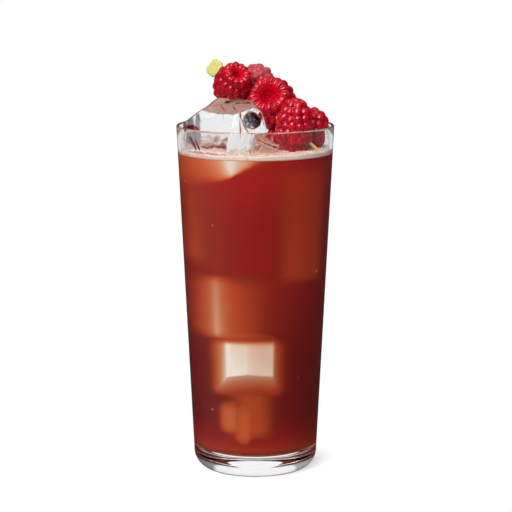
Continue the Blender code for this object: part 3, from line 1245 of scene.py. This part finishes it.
@dataclass
class FloatingIce:
    """The clear ice that stands out of the punch.

    The dark pocket's wall is painted shade, and in its zones it takes painted light instead:
    an orange fringe and a pale glint. A zone is how much height, distance to the right and
    unevenness count towards it, and the sum at its edge.
    """

    tumbler: Tumbler
    voxel: float = 0.00045
    smoothing: float = 0.5
    smoothing_rounds: int = 6
    waves: float = 0.00035
    grain: float = 130.0
    fine_grain: float = 3.1
    fine_share: float = 0.25
    sink: float = 0.2
    # noise and zones that put painted light, a fringe and a glint, on the dark pocket's painted
    # shade
    painted_light_grain: float = 1400.0
    painted_light_unevenness: float = 0.6
    fringe_zone: tuple[float, ...] = (0.8, -0.5, 1.0, 0.72)
    glint_zone: tuple[float, ...] = (-0.5, -0.7, 2.2, 0.35)
    # painted shade for the dark pocket, then painted light for its fringe and its glint
    dark: Triple = (0.07, 0.05, 0.055)
    fringe: Triple = (0.80, 0.42, 0.12)
    glint: Triple = (0.70, 0.76, 0.82)
    crimson: Triple = (0.32, 0.05, 0.08)
    amber: Triple = (0.93, 0.72, 0.60)
    unstained: Triple = (1.0, 1.0, 1.0)
    pieces: list = field(default_factory=list)

    def melt(self, piece: bpy.types.Object) -> bpy.types.Object:
        """Rounds a block's edges and gives its faces the low waves of melting ice.

        Args:
            piece: the block.

        Returns:
            The same block.
        """
        remesh(piece, self.voxel)
        smooth = piece.modifiers.new("smooth", "SMOOTH")
        smooth.factor = self.smoothing
        smooth.iterations = self.smoothing_rounds
        apply(piece)
        outward = [vertex.normal.copy() for vertex in piece.data.vertices]
        for vertex, normal in zip(piece.data.vertices, outward):
            slow = noise.noise(vertex.co * self.grain)
            quick = noise.noise(vertex.co * self.grain * self.fine_grain) * self.fine_share
            vertex.co += normal * (slow + quick - self.sink) * self.waves
        return piece

    def tint_and_painted_light(self, pocket: Pocket, place: Vector) -> Triple:
        """The tint of a pocket's wall: painted shade edged with painted light, crimson, or clear.

        Args:
            pocket: the pocket.
            place: a point of its wall.

        Returns:
            What share of each colour of light passes.
        """
        if pocket.kind is Cavity.CLEAR:
            return self.unstained
        if pocket.kind is Cavity.CRIMSON:
            return self.crimson
        across = (place.x - pocket.centre[0]) / pocket.sizes[0]
        rise = (place.z - pocket.centre[2]) / pocket.sizes[2]
        uneven = self.painted_light_unevenness * noise.noise(place * self.painted_light_grain)
        for zone, tint in ((self.fringe_zone, self.fringe), (self.glint_zone, self.glint)):
            up, right, rough, edge = zone
            if up * rise + right * across + rough * uneven > edge:
                return tint
        return self.dark

    def build(self) -> list[bpy.types.Object]:
        """Each piece with melted faces, the large one with its pockets.

        Returns:
            The objects in the order of FLOATING_ICE.
        """
        material = ClearIce().material()
        for ice in FLOATING_ICE:
            piece = self.melt(ice.build(self.tumbler))
            outer = len(piece.data.vertices)
            tints_and_painted_light = [self.amber if ice.name == "ice_corner" else self.unstained] * outer
            if ice.name == "ice_block":
                # the pocket walls carry crimson tints, and the dark pocket carries painted shade
                # and light
                inner = [pocket.build() for pocket in POCKETS]
                for shell, pocket in zip(inner, POCKETS):
                    tints_and_painted_light += [self.tint_and_painted_light(pocket, vertex.co) for vertex in shell.data.vertices]
                piece = join(piece.name, piece, *inner)
            keep_attribute(piece.data, "tint_and_painted_light", np.array(tints_and_painted_light))
            skin = (np.arange(len(tints_and_painted_light)) < outer).astype(float)
            keep_attribute(piece.data, "skin", skin)
            piece.data.shade_smooth()
            dress(piece, material)
            piece.name = ice.name + "_clear"
            self.pieces.append(piece)
        return self.pieces


# The punch


@dataclass
class Punch:
    """The drink in the tumbler, with the ice that is sunk in it.

    Rays fan out inward from each point of its skin, and what they meet tells how clearly
    the sunken ice shows there. The blur is the fan's half angle in degrees.
    """

    tumbler: Tumbler
    level: float = 0.1474
    reach: float = 0.00025
    step: float = 0.00062
    top_step: float = 0.0016
    segments: int = 280
    crease: float = 40.0
    contact: float = 0.0001
    fade: float = 0.0040
    gain: float = 1.6
    solid_chord: float = 0.0050
    blur: float = 13.0
    rays: int = 26
    # a glow of light painted into the clearness near the floor
    glow: float = 0.05
    glow_lit: float = 0.5
    glow_height: float = 0.0136
    glow_fade: float = 0.0024
    light: Triple = (-0.45, -0.65, 0.61)

    def build(self) -> bpy.types.Object:
        """The punch up to its level, cut round the ice that floats.

        Returns:
            The new object.
        """
        profile = self.tumbler.inside(self.level, self.reach, self.step)
        profile += stretch(profile[-1], (0.0, self.level), self.top_step)
        profile[-1] = (0.0, self.level)
        piece = turned("punch", profile, self.segments)
        cut_rooms(piece, self.tumbler)
        dress(piece, PunchColours().material())
        piece.data.shade_smooth()
        piece.data.set_sharp_from_angle(angle=radians(self.crease))
        places = coordinates(piece.data)
        clear, lit = self.clearness(places)
        keep_attribute(piece.data, "clear", clear)
        keep_attribute(piece.data, "lit", lit)
        keep_attribute(piece.data, "walled", self.walled(places))
        return piece

    def walled(self, places: np.ndarray) -> np.ndarray:
        """Which points lie against the glass.

        Args:
            places: the points, a row each.

        Returns:
            1 for those that do, 0 for the others.
        """
        foot = self.tumbler.floor_height + self.tumbler.inner_heel
        radius = np.hypot(places[:, 0], places[:, 1])
        heights = np.maximum(places[:, 2], foot)
        wall = np.array([self.tumbler.inner_radius(height) for height in heights])
        return ((radius > wall - self.contact) | (places[:, 2] < foot)).astype(float)

    def fan(self, places: np.ndarray) -> list[np.ndarray]:
        """Directions that fan out from each point towards the axis.

        Args:
            places: the points, a row each.

        Returns:
            For each ray of the fan its direction at each point.
        """
        safe = np.maximum(np.hypot(places[:, 0], places[:, 1]), 1e-6)
        level = np.zeros(len(places))
        inward = np.stack([-places[:, 0] / safe, -places[:, 1] / safe, level], axis=1)
        aside = np.stack([-inward[:, 1], inward[:, 0], level], axis=1)
        spread = np.tan(radians(self.blur))
        golden = pi * (3 - 5**0.5)
        ways = []
        for i in range(self.rays):
            off = spread * ((i + 0.5) / self.rays) ** 0.5
            way = inward + aside * (off * cos(golden * i))
            way[:, 2] += off * sin(golden * i)
            ways.append(way / np.linalg.norm(way, axis=1, keepdims=True))
        return ways

    def clearness(self, places: np.ndarray) -> tuple[np.ndarray, np.ndarray]:
        """How clearly the sunken ice shows at each point of the punch's skin.

        Args:
            places: the points, a row each.

        Returns:
            For each point a number from 0, deep punch, to 1, ice against the glass, raised near
            the floor by a painted glow of light, and how squarely the face of the ice behind it
            looks at the light, with a set value where the painted glow is the larger.
        """
        shown, lit = np.zeros(len(places)), np.zeros(len(places))
        light = np.array(self.light) / np.linalg.norm(self.light)
        for way in self.fan(places):
            best, faced = np.zeros(len(places)), np.zeros(len(places))
            for ice in SUNKEN_ICE:
                near, before, chord, shade = ice.seen(self.tumbler, places, way, light)
                seen = self.gain * np.exp(-before / self.fade)
                seen = seen * (1 - np.exp(-chord / self.solid_chord))
                seen = np.where(chord > 0, np.minimum(seen, 1.0), 0.0)
                faced[near] = np.where(seen > best[near], shade, faced[near])
                best[near] = np.maximum(best[near], seen)
            shown += best / self.rays
            lit += best * faced / self.rays
        lit /= np.maximum(shown, 1e-6)
        # painted light: a glow that fades upward from near the floor
        rising = np.maximum(places[:, 2] - self.glow_height, 0.0)
        glow = self.glow * np.exp(-rising / self.glow_fade)
        return np.maximum(shown, glow), np.where(glow > shown, self.glow_lit, lit)


@dataclass
class Froth:
    """The thin uneven froth on the punch, with larger bubbles at the front and right.

    Its top leans up to the right and the front. The waves in it are counted in radians for
    each metre.
    """

    tumbler: Tumbler
    bottom: float = 0.1474
    thickness: float = 0.0017
    reach: float = 0.00022
    under_step: float = 0.002
    step: float = 0.0006
    segments: int = 200
    dip: float = 0.0001
    relief: float = 0.0005
    lean: tuple[float, float] = (0.6, -0.8)
    slow_share: float = 0.45
    slow_start: float = 1.0
    slow_waves: Triple = (310.0, 270.0, 520.0)
    cross_share: float = 0.6
    fine_share: float = 0.35
    fine_waves: tuple[float, ...] = (1500.0, 900.0, 1300.0, 1100.0)
    fine_bends: tuple[float, float] = (3.0, 2.0)
    bubbles: int = 600
    bubble_sizes: tuple[float, float] = (0.00016, 0.00045)
    bubble_angles: tuple[float, float] = (-110.0, 20.0)
    bubble_detail: int = 2
    bubble_spread: float = 0.5
    bubble_lift: float = 0.2
    bubble_clearance: float = 0.0007
    seed: int = 12

    def swell(self, x: float, y: float) -> float:
        """How far the froth's top stands over or under its middle height.

        Args:
            x: the place's distance to the right.
            y: its distance to the back.

        Returns:
            The height over the middle.
        """
        right, back, across = self.slow_waves
        lean = (self.lean[0] * x + self.lean[1] * y) / self.tumbler.rim_radius
        slow = sin(right * x + self.slow_start) * cos(back * y)
        slow += self.cross_share * sin(across * (x - y))
        a, b, c, d = self.fine_waves
        bend, other = self.fine_bends
        fine = self.fine_share * sin(a * x + bend * sin(b * y)) * cos(c * y + other * sin(d * x))
        return self.relief * (lean + self.slow_share * slow + fine)

    def build(self) -> bpy.types.Object:
        """The froth and the larger bubbles on it.

        Returns:
            The new object.
        """
        top = self.bottom + self.thickness
        radius = self.tumbler.inner_radius(top) + self.reach
        profile = [(0.0, self.bottom - self.dip)]
        profile += stretch((0.0, self.bottom), (radius, self.bottom), self.under_step)
        profile += stretch((radius, self.bottom), (radius, top), self.step)
        profile += stretch((radius, top), (0.0, top), self.step)
        profile[-1] = (0.0, top)
        piece = turned("froth_body", profile, self.segments)
        for vertex in piece.data.vertices:
            if vertex.co.z > self.bottom + self.thickness / 2:
                vertex.co.z += self.swell(vertex.co.x, vertex.co.y)
        cut_rooms(piece, self.tumbler)
        material = FrothColours().material()
        dress(piece, material)
        return join("froth_foam", piece, self.bubbles_on(top, material))

    def bubbles_on(self, top: float, material: bpy.types.Material) -> bpy.types.Object:
        """Larger bubbles that gather at the wall and round the berries.

        Args:
            top: height of the froth's top.
            material: the froth's finish.

        Returns:
            The bubbles as one object.
        """
        draw = Random(self.seed)
        widest = self.tumbler.inner_radius(top) - self.bubble_clearance
        balls = []
        for _ in range(self.bubbles):
            angle = radians(draw.uniform(*self.bubble_angles))
            gathered = draw.random() ** 2
            radius = widest * (1 - self.bubble_spread * gathered)
            x, y = radius * cos(angle), radius * sin(angle)
            size = draw.uniform(*self.bubble_sizes)
            place = (x, y, top + self.swell(x, y) + self.bubble_lift * size)
            balls.append(Ball(place, (0.0, 0.0, 1.0), (1.0, 0.0, 0.0), (size,) * 3))
        return set_balls("bubbles", balls, ball_tree("bubbles"), self.bubble_detail, material)


# The berries


@dataclass(frozen=True)
class Berry:
    """One raspberry: its size, where its middle lies and which way its hollow looks."""

    name: str
    radius: float
    length: float
    druplet: float
    centre: Triple
    looks: Triple
    seed: int
    belly: float = 0.58
    bloom: Bloom = Bloom.FRESH


BERRIES = (
    Berry(
        "raspberry_upper", 0.0082, 0.0200, 0.0032,
        (-0.0108, 0.0031, 0.1779), (0.33, -0.69, 0.64), 3,
    ),
    Berry(
        "raspberry_back", 0.0075, 0.0160, 0.0030,
        (0.0008, 0.0194, 0.1784), (-0.25, 0.75, -0.45), 5, bloom=Bloom.DOWNY,
    ),
    Berry(
        "raspberry_middle", 0.0118, 0.0210, 0.0037,
        (0.0068, 0.0054, 0.1687), (-0.11, -0.79, 0.60), 8,
    ),
    Berry(
        "raspberry_low", 0.0052, 0.0110, 0.0030,
        (0.0100, 0.0022, 0.1532), (0.95, 0.30, -0.05), 34,
    ),
    Berry(
        "raspberry_front", 0.0082, 0.0245, 0.0034,
        (0.0176, -0.0112, 0.1608), (-0.06, 0.16, -0.98), 13,
    ),
    Berry(
        "raspberry_side", 0.0088, 0.0187, 0.0034,
        (0.0251, 0.0040, 0.1580), (-0.35, 0.45, -0.82), 21, 0.68,
    ),
)


class BerrySurface:
    """The body under a raspberry's druplets, from the tip round the rim into the hollow."""

    fullness = 0.8
    crest_radius = 0.70
    hollow_radius = 0.50
    lip_height = 0.25
    hollow_depth = 0.45
    samples = 48

    def __init__(self, berry: Berry, sunk: float) -> None:
        """Works out the body's half section.

        Args:
            berry: the berry.
            sunk: how far the body lies under the berry's outline.
        """
        self.radius = radius = berry.radius - sunk
        bottom = sunk - berry.length / 2
        top = berry.length / 2 - sunk
        belly = bottom + berry.belly * (top - bottom)
        crest = self.crest_radius * radius
        hollow = self.hollow_radius * radius
        lip = self.lip_height * radius
        depth = self.hollow_depth * (top - bottom)
        tip_side = arc((0, belly), (radius, belly - bottom), -89, 0, self.samples)
        tip_side = [(radius * (r / radius) ** self.fullness, z) for r, z in tip_side]
        tip_side[0] = (0.0, tip_side[0][1])
        shoulder = arc((crest, belly), (radius - crest, top - belly), 0, 90, self.samples)
        rim = arc((crest, top - lip), (crest - hollow, lip), 90, 180, self.samples)
        well = arc((0, top - lip), (hollow, depth), 0, -88, self.samples)
        self.path = np.array(tip_side + shoulder[1:] + rim[1:] + well[1:])
        steps = np.diff(self.path, axis=0)
        self.along = np.concatenate([[0.0], np.cumsum(np.hypot(steps[:, 0], steps[:, 1]))])
        self.crest = self.along[2 * self.samples]
        self.slope = np.gradient(self.path, self.along, axis=0)

    def radius_at(self, along: float) -> float:
        """Distance from the berry's axis at a place along the path."""
        return float(np.interp(along, self.along, self.path[:, 0]))

    def point(self, along: float, angle: float) -> tuple[Vector, Vector, Vector]:
        """A place on the body.

        Args:
            along: how far along the path it lies.
            angle: how far round the axis.

        Returns:
            The place, its outward direction and the direction along the path.
        """
        r, z = (float(np.interp(along, self.along, self.path[:, k])) for k in (0, 1))
        sr, sz = (float(np.interp(along, self.along, self.slope[:, k])) for k in (0, 1))
        place = Vector((r * cos(angle), r * sin(angle), z))
        outward = Vector((sz * cos(angle), sz * sin(angle), -sr)).normalized()
        forward = Vector((sr * cos(angle), sr * sin(angle), sz)).normalized()
        return place, outward, forward


@dataclass
class Raspberries:
    """All the berries, each fused from its druplets.

    The petals are the long druplets that bend over the crest round a hollow. Their pitch is
    a share of a druplet's width, and their ends lie at shares of the berry's radius. Widths
    and heights of balls are shares of that pitch or of a druplet's width.
    """

    dome: float = 0.68
    stretch_along: float = 1.18
    row_spacing: float = 0.93
    jitter: float = 0.13
    widest: float = 0.64
    swell: tuple[float, float] = (0.90, 1.08)
    petal_pitch: float = 0.70
    petal_out: float = 0.34
    petal_in: float = 0.24
    petal_step: float = 0.33
    petal_width: float = 0.62
    petal_room: float = 0.60
    petal_taper: float = 0.30
    petal_shift: float = 0.2
    petal_swell: tuple[float, float] = (0.94, 1.06)
    petal_balls: int = 4
    fewest_in_row: int = 4
    bead: float = 0.52
    bead_spacing: float = 0.50
    ball_detail: int = 3
    ball_sink: float = 0.75
    core_sink: float = 0.36
    core_segments: int = 40
    core_samples: int = 4
    top_height: float = 0.6
    top_reach: float = 1.35
    hollow_edge: float = 1.15
    hollow_fade: float = 3.0
    voxel: float = 0.00020
    tree: Graph | None = None

    def petals(self, surface: BerrySurface, width: float, draw: Random) -> list[Ball]:
        """The long druplets round the hollow, each a chain of balls.

        Args:
            surface: the berry's body.
            width: width of an ordinary druplet.
            draw: the source of its unevenness.

        Returns:
            The balls.
        """
        pitch = self.petal_pitch * width
        count = round(tau * surface.radius_at(surface.crest) / pitch)
        start = surface.crest - self.petal_out * surface.radius
        end = surface.crest + self.petal_in * surface.radius
        steps = max(self.petal_balls, round((end - start) / (self.petal_step * pitch)))
        half = self.petal_width * pitch
        found = []
        for i in range(count):
            angle = tau * (i + self.jitter * draw.uniform(-1, 1)) / count
            swell = draw.uniform(*self.petal_swell)
            shift = self.petal_shift * width * draw.uniform(-1, 1)
            for step in range(steps + 1):
                share = step / steps
                bulge = (1.0 - self.petal_taper * (2 * share - 1) ** 2) * swell
                along = start + (end - start) * share + shift
                room = self.petal_room * tau * surface.radius_at(along) / count
                sizes = (half, min(room, half) * bulge, self.dome * pitch * bulge)
                found.append(Ball(*surface.point(along, angle), sizes, i))
        return found

    def rows(self, surface: BerrySurface, width: float) -> list[tuple[float, float]]:
        """The rows of druplets and of the beads in the hollow, on both sides of the petals.

        Args:
            surface: the berry's body.
            width: width of an ordinary druplet.

        Returns:
            For each row its place along the body and its balls' share of the full size.
        """
        outer = surface.crest - self.petal_out * surface.radius
        inner = surface.crest + self.petal_in * surface.radius + self.petal_shift * width
        depth = surface.along[-1] - inner
        outside = round(outer / (self.row_spacing * width))
        within = max(1, round(depth / (self.bead_spacing * width)))
        places = [(outer * row / outside, 1.0) for row in range(outside)]
        return places + [(inner + depth * row / within, self.bead) for row in range(within)]

    def druplets(self, berry: Berry, surface: BerrySurface, draw: Random) -> list[Ball]:
        """Balls of all the druplets, row by row from the tip into the hollow.

        Args:
            berry: the berry.
            surface: its body.
            draw: the source of its unevenness.

        Returns:
            The balls, those of the petals first.
        """
        width = berry.druplet
        dome = self.dome * width
        found = self.petals(surface, width, draw)
        number = found[-1].druplet + 1
        for row, (level, size) in enumerate(self.rows(surface, width)):
            girth = tau * surface.radius_at(level)
            count = max(self.fewest_in_row, round(girth / (width * size))) if level else 1
            for i in range(count):
                angle = tau * (i + 0.5 * (row % 2) + self.jitter * draw.uniform(-1, 1)) / count
                off = self.jitter * width * draw.uniform(-1, 1) if row else 0.0
                swell = draw.uniform(*self.swell) * size
                across = min(dome * swell, self.widest * girth / count) if level else dome
                lengthwise = dome * swell * (self.stretch_along if level else 1.0)
                sizes = (lengthwise, across, dome * swell)
                found.append(Ball(*surface.point(level + off, angle), sizes, number))
                number += 1
        return found

    def build(self, berry: Berry, material: bpy.types.Material) -> bpy.types.Object:
        """One berry in its place.

        Args:
            berry: the berry.
            material: its finish.

        Returns:
            The new object.
        """
        draw = Random(berry.seed)
        name = berry.name + "_fruit"
        surface = BerrySurface(berry, self.dome * berry.druplet * self.ball_sink)
        found = self.druplets(berry, surface, draw)
        skin = set_balls(name, found, self.tree, self.ball_detail, material)
        core_surface = BerrySurface(berry, self.dome * berry.druplet * self.core_sink)
        path = [tuple(p) for p in core_surface.path[::self.core_samples]]
        path[0] = (0.0, path[0][1])
        path.append((0.0, core_surface.path[-1][1]))
        core = turned("core", path, self.core_segments)
        piece = remesh(join(name, skin, core), self.voxel)
        self.colour_points(piece, found, surface, draw)
        turn = Vector(berry.looks).to_track_quat("Z", "Y").to_matrix().to_4x4()
        piece.data.transform(Matrix.Translation(berry.centre) @ turn)
        dress(piece, material)
        piece.data.shade_smooth()
        return piece

    def colour_points(
        self, piece: bpy.types.Object, found: list[Ball], surface: BerrySurface, draw: Random,
    ) -> None:
        """Notes for each point how near a druplet's top it lies, how ripe that is, and the hollow.

        Args:
            piece: the fused berry.
            found: its balls.
            surface: its body.
            draw: the source of its unevenness.
        """
        tops = KDTree(len(found))
        for i, ball in enumerate(found):
            tops.insert(ball.place + ball.outward * ball.sizes[2] * self.top_height, i)
        tops.balance()
        ripeness = [draw.random() for _ in range(found[-1].druplet + 1)]
        top = np.zeros(len(piece.data.vertices))
        ripe = np.zeros(len(piece.data.vertices))
        for vertex in piece.data.vertices:
            _, which, distance = tops.find(vertex.co)
            ball = found[which]
            top[vertex.index] = max(0.0, 1.0 - distance / (self.top_reach * ball.sizes[1]))
            ripe[vertex.index] = ripeness[ball.druplet]
        places = coordinates(piece.data)
        hollow = surface.hollow_radius * surface.radius
        reach = np.hypot(places[:, 0], places[:, 1]) / hollow
        inside = np.clip((self.hollow_edge - reach) * self.hollow_fade, 0, 1)
        keep_attribute(piece.data, "top", top)
        keep_attribute(piece.data, "ripe", ripe)
        keep_attribute(piece.data, "inside", inside * (places[:, 2] > 0))

    def build_all(self) -> list[bpy.types.Object]:
        """Every berry.

        Returns:
            The objects in the order of BERRIES.
        """
        self.tree = ball_tree("druplets")
        finishes = {
            Bloom.FRESH: Bloom.FRESH.value.material("raspberry_flesh"),
            Bloom.DOWNY: Bloom.DOWNY.value.material("raspberry_downy"),
        }
        return [self.build(berry, finishes[berry.bloom]) for berry in BERRIES]


# The pick


@dataclass
class BambooPick:
    """A flat paddle, then a round stick with a sharpened end."""

    end: Triple = (-0.0208, 0.0110, 0.1865)
    point: Triple = (0.0288, -0.0140, 0.1494)
    paddle_width: float = 0.0080
    paddle_thickness: float = 0.0015
    paddle_length: float = 0.0075
    corner: float = 0.0013
    shoulder: float = 0.0045
    end_width: float = 0.0058
    end_thickness: float = 0.00135
    squareness: float = 0.35
    stick: float = 0.0022
    taper: float = 0.0080
    tip: float = 0.0006
    sides: int = 40
    crease: float = 35.0

    def sections(self, length: float) -> list[tuple[float, Triple]]:
        """The pick's cross sections.

        Args:
            length: the pick's length.

        Returns:
            For each its distance from the paddle's end, and its half width, half thickness
            and squareness.
        """
        blade = (self.paddle_width / 2, self.paddle_thickness / 2, self.squareness)
        blade_end = (self.end_width / 2, self.end_thickness / 2, self.squareness)
        stick = (self.stick / 2, self.stick / 2, 1.0)
        return [
            (0.0, blade_end), (self.corner, blade), (self.shoulder, blade),
            (self.paddle_length, stick), (length - self.taper, stick),
            (length, (self.tip / 2, self.tip / 2, 1.0)),
        ]

    def build(self) -> bpy.types.Object:
        """The pick as one closed skin.

        Returns:
            The new object.
        """
        run = Vector(self.point) - Vector(self.end)
        along = run.normalized()
        side = along.cross(Vector((0, 1, 0))).normalized()
        up = side.cross(along)
        points, faces = [], []
        sections = self.sections(run.length)
        for distance, (half_width, half_thickness, squareness) in sections:
            for i in range(self.sides):
                angle = tau * (i + 0.5) / self.sides
                across = np.sign(cos(angle)) * abs(cos(angle)) ** squareness * half_width
                through = np.sign(sin(angle)) * abs(sin(angle)) ** squareness * half_thickness
                place = Vector(self.end) + along * distance
                points.append(place + side * across + up * through)
        for ring in range(len(sections) - 1):
            a, b = ring * self.sides, (ring + 1) * self.sides
            for i in range(self.sides):
                j = (i + 1) % self.sides
                faces.append((a + i, a + j, b + j, b + i))
        faces.append(range(self.sides))
        faces.append(range(len(points) - self.sides, len(points)))
        material = Bamboo(along, Vector(self.point).dot(along)).material()
        piece = mesh_object("pick_bamboo", points, faces, material)
        piece.data.set_sharp_from_angle(angle=radians(self.crease))
        return piece


# The room


@dataclass(frozen=True)
class Softbox:
    """A rectangular light: its place by direction from the glass, its size and its power."""

    name: str
    azimuth: float
    elevation: float
    distance: float
    width: float
    height: float
    power: float

    def build(self, aim: Triple) -> None:
        """Sets the light up, out of the picture.

        Args:
            aim: the place that it looks at.
        """
        angle, rise = radians(self.azimuth), radians(self.elevation)
        away = Vector((sin(angle) * cos(rise), -cos(angle) * cos(rise), sin(rise)))
        data = bpy.data.lights.new(self.name, "AREA")
        data.shape = "RECTANGLE"
        data.size, data.size_y = self.width, self.height
        data.energy = self.power
        lamp = bpy.data.objects.new(self.name, data)
        lamp.location = Vector(aim) + away * self.distance
        lamp.rotation_euler = away.to_track_quat("Z", "Y").to_euler()
        lamp.visible_camera = False
        bpy.context.scene.collection.objects.link(lamp)


@dataclass(frozen=True)
class Surroundings:
    """White to look at, and for light bright behind the glass and dark before it.

    A range is a tuple of where an effect starts and where it is full. Sides are angles from
    straight behind the glass, in degrees, and rises are heights of a direction, -1 to 1.
    """

    window_sides: tuple[float, float] = (38, 28)
    window_rises: tuple[float, float] = (0.75, 0.45)
    ceiling_rises: tuple[float, float] = (0.88, 0.95)
    ceiling: float = 0.85
    table_rises: tuple[float, float] = (-0.30, -0.50)
    table_sides: tuple[float, float] = (60, 35)
    table: float = 0.8
    dim_sides: tuple[float, float] = (-1.0, 1.0)
    dim: tuple[float, float] = (0.46, 0.24)
    left_side: float = 105
    left_sides: tuple[float, float] = (60, 10)
    left: float = 0.13
    above_rises: tuple[float, float] = (0.15, 0.7)
    above: float = 0.22
    gleam: float = 0.02
    glint: Triple = (-0.32, -0.72, 0.62)
    glint_reach: tuple[float, float] = (0.90, 0.94)
    glint_strength: float = 5.0
    soft: float = 0.42
    soft_rises: tuple[float, float] = (-0.6, 0.8)
    soft_range: float = 0.30

    def through(self, g: Graph, side: Feed, rise: Feed) -> bpy.types.NodeSocket:
        """What shows through clear things: a window behind, a ceiling, a table and dim sides.

        Args:
            g: the world's graph.
            side: a direction's side.
            rise: its rise.

        Returns:
            The strength of the light.
        """
        aside = g.math("ABSOLUTE", side)
        window = g.ramp(aside, *map(radians, self.window_sides))
        window = g.math("MULTIPLY", window, g.ramp(rise, *self.window_rises))
        ceiling = g.math("MULTIPLY", g.ramp(rise, *self.ceiling_rises), self.ceiling)
        table = g.math("MULTIPLY", g.ramp(rise, *self.table_rises), self.table)
        table = g.math("MULTIPLY", table, g.ramp(aside, *map(radians, self.table_sides)))
        inputs = dict(enumerate((side, *self.dim_sides, *self.dim)))
        dim = g.add("ShaderNodeMapRange", inputs).outputs[0]
        window = g.math("MAXIMUM", window, ceiling)
        return g.math("MAXIMUM", g.math("MAXIMUM", window, table), dim)

    def mirrored(self, g: Graph, way: Feed, side: Feed, rise: Feed) -> bpy.types.NodeSocket:
        """What shiny things mirror: a faint glow at the left and above, and one small glint.

        Args:
            g: the world's graph.
            way: a direction.
            side: its side.
            rise: its rise.

        Returns:
            The strength of the light.
        """
        from_left = g.math("ABSOLUTE", g.math("ADD", side, radians(self.left_side)))
        left = g.ramp(from_left, *map(radians, self.left_sides))
        above = g.ramp(rise, *self.above_rises)
        left, above = g.math("MULTIPLY", left, self.left), g.math("MULTIPLY", above, self.above)
        inputs = {0: way, 1: self.glint}
        toward = g.add("ShaderNodeVectorMath", inputs, operation="DOT_PRODUCT").outputs["Value"]
        glint = g.math("MULTIPLY", g.ramp(toward, *self.glint_reach), self.glint_strength)
        return g.math("ADD", g.math("ADD", g.math("ADD", left, above), self.gleam), glint)

    def build(self) -> None:
        """Sets up the world."""
        world = bpy.data.worlds.new("room")
        world.use_nodes = True
        bpy.context.scene.world = world
        g = Graph(world.node_tree)
        background = world.node_tree.nodes["Background"]
        way = g.add("ShaderNodeTexCoord").outputs["Generated"]
        parts = g.add("ShaderNodeSeparateXYZ", {0: way}).outputs
        side, rise = g.math("ARCTAN2", parts[0], parts[1]), parts[2]
        path = g.add("ShaderNodeLightPath").outputs
        range_ = g.math("MULTIPLY", g.ramp(rise, *self.soft_rises), self.soft_range)
        soft = g.math("ADD", self.soft, range_)
        strength = self.mirrored(g, way, side, rise)
        for ray, light in (
            ("Is Diffuse Ray", soft),
            ("Is Transmission Ray", self.through(g, side, rise)),
            ("Is Camera Ray", 1.0),
        ):
            strength = g.add("ShaderNodeMix", {0: path[ray], 2: strength, 3: light}).outputs[0]
        g.feed(strength, background, "Strength")
        background.inputs["Color"].default_value = WHITE


@dataclass(frozen=True)
class Floor:
    """A pale floor that fades to white away from the glass."""

    radius: float = 8.0
    top: float = -0.0004
    bottom: float = -0.01
    segments: int = 64
    paint: Colour = (0.9, 0.9, 0.9, 1.0)
    fading: tuple[float, float] = (0.024, 0.050)

    def build(self) -> None:
        """Lays the floor, which only the camera sees."""
        edge = [(0.0, self.top), (self.radius, self.top), (self.radius, self.bottom)]
        floor = turned("floor", edge + [(0.0, self.bottom)], self.segments)
        material = bpy.data.materials.new("pale_floor")
        material.use_nodes = True
        g = Graph(material.node_tree)
        g.tree.nodes.remove(g.tree.nodes["Principled BSDF"])
        distance = g.add("ShaderNodeVectorMath", {0: g.place()}, operation="LENGTH")
        far = g.ramp(distance.outputs["Value"], *self.fading)
        paint = g.add("ShaderNodeBsdfDiffuse", {"Color": self.paint}).outputs[0]
        glow = g.add("ShaderNodeEmission", {"Color": WHITE, "Strength": 1.0}).outputs[0]
        near_look = g.add("ShaderNodeMixShader", {0: far, 1: paint, 2: glow}).outputs[0]
        seen = g.add("ShaderNodeLightPath").outputs["Is Camera Ray"]
        unseen = g.add("ShaderNodeBsdfTransparent").outputs[0]
        g.show(g.add("ShaderNodeMixShader", {0: seen, 1: unseen, 2: near_look}))
        dress(floor, material)


@dataclass
class Studio:
    """A plain pale room with soft light, and the camera."""

    aim: Triple = (0.0, 0.0, 0.095)
    boxes: tuple[Softbox, ...] = (
        Softbox("key", -24.0, 38.0, 0.9, 0.5, 0.5, 5.5),
        Softbox("top", 30.0, 75.0, 1.0, 0.6, 0.6, 2.5),
    )
    camera_place: Triple = (0.0, -0.98954, 0.26781)
    camera_pitch: float = 9.6728
    lens: float = 153.3
    sensor: float = 36.0
    shift: float = 0.7 / 512
    furthest: float = 100.0
    bounces: int = 64
    transmission_bounces: int = 60
    glossy_bounces: int = 24
    transparent_bounces: int = 24

    def camera(self) -> None:
        """Sets up the camera at the photograph's place and angle."""
        data = bpy.data.cameras.new("camera")
        data.lens = self.lens
        data.sensor_width = self.sensor
        data.shift_x = self.shift
        data.clip_end = self.furthest
        camera = bpy.data.objects.new("camera", data)
        camera.location = self.camera_place
        camera.rotation_euler = (radians(90 - self.camera_pitch), 0.0, 0.0)
        bpy.context.scene.collection.objects.link(camera)
        bpy.context.scene.camera = camera

    def build(self) -> None:
        """Sets up the whole room."""
        Surroundings().build()
        Floor().build()
        self.camera()
        for box in self.boxes:
            box.build(self.aim)
        scene = bpy.context.scene
        scene.view_settings.view_transform = "Standard"
        scene.cycles.max_bounces = self.bounces
        scene.cycles.transmission_bounces = self.transmission_bounces
        scene.cycles.glossy_bounces = self.glossy_bounces
        scene.cycles.transparent_max_bounces = self.transparent_bounces


def main() -> None:
    """Builds the room, the glass and all that is in it, and reports each piece."""
    logging.basicConfig(level=logging.INFO, format="%(name)s: %(message)s")
    Studio().build()
    tumbler = Tumbler()
    finish_piece(tumbler.build(), "glass")
    finish_piece(Punch(tumbler).build(), "drink")
    finish_piece(Froth(tumbler).build(), "froth")
    for ice, piece in zip(FLOATING_ICE, FloatingIce(tumbler).build()):
        finish_piece(piece, ice.name)
    for berry, piece in zip(BERRIES, Raspberries().build_all()):
        finish_piece(piece, berry.name)
    finish_piece(BambooPick().build(), "pick")


if __name__ == "__main__":
    main()
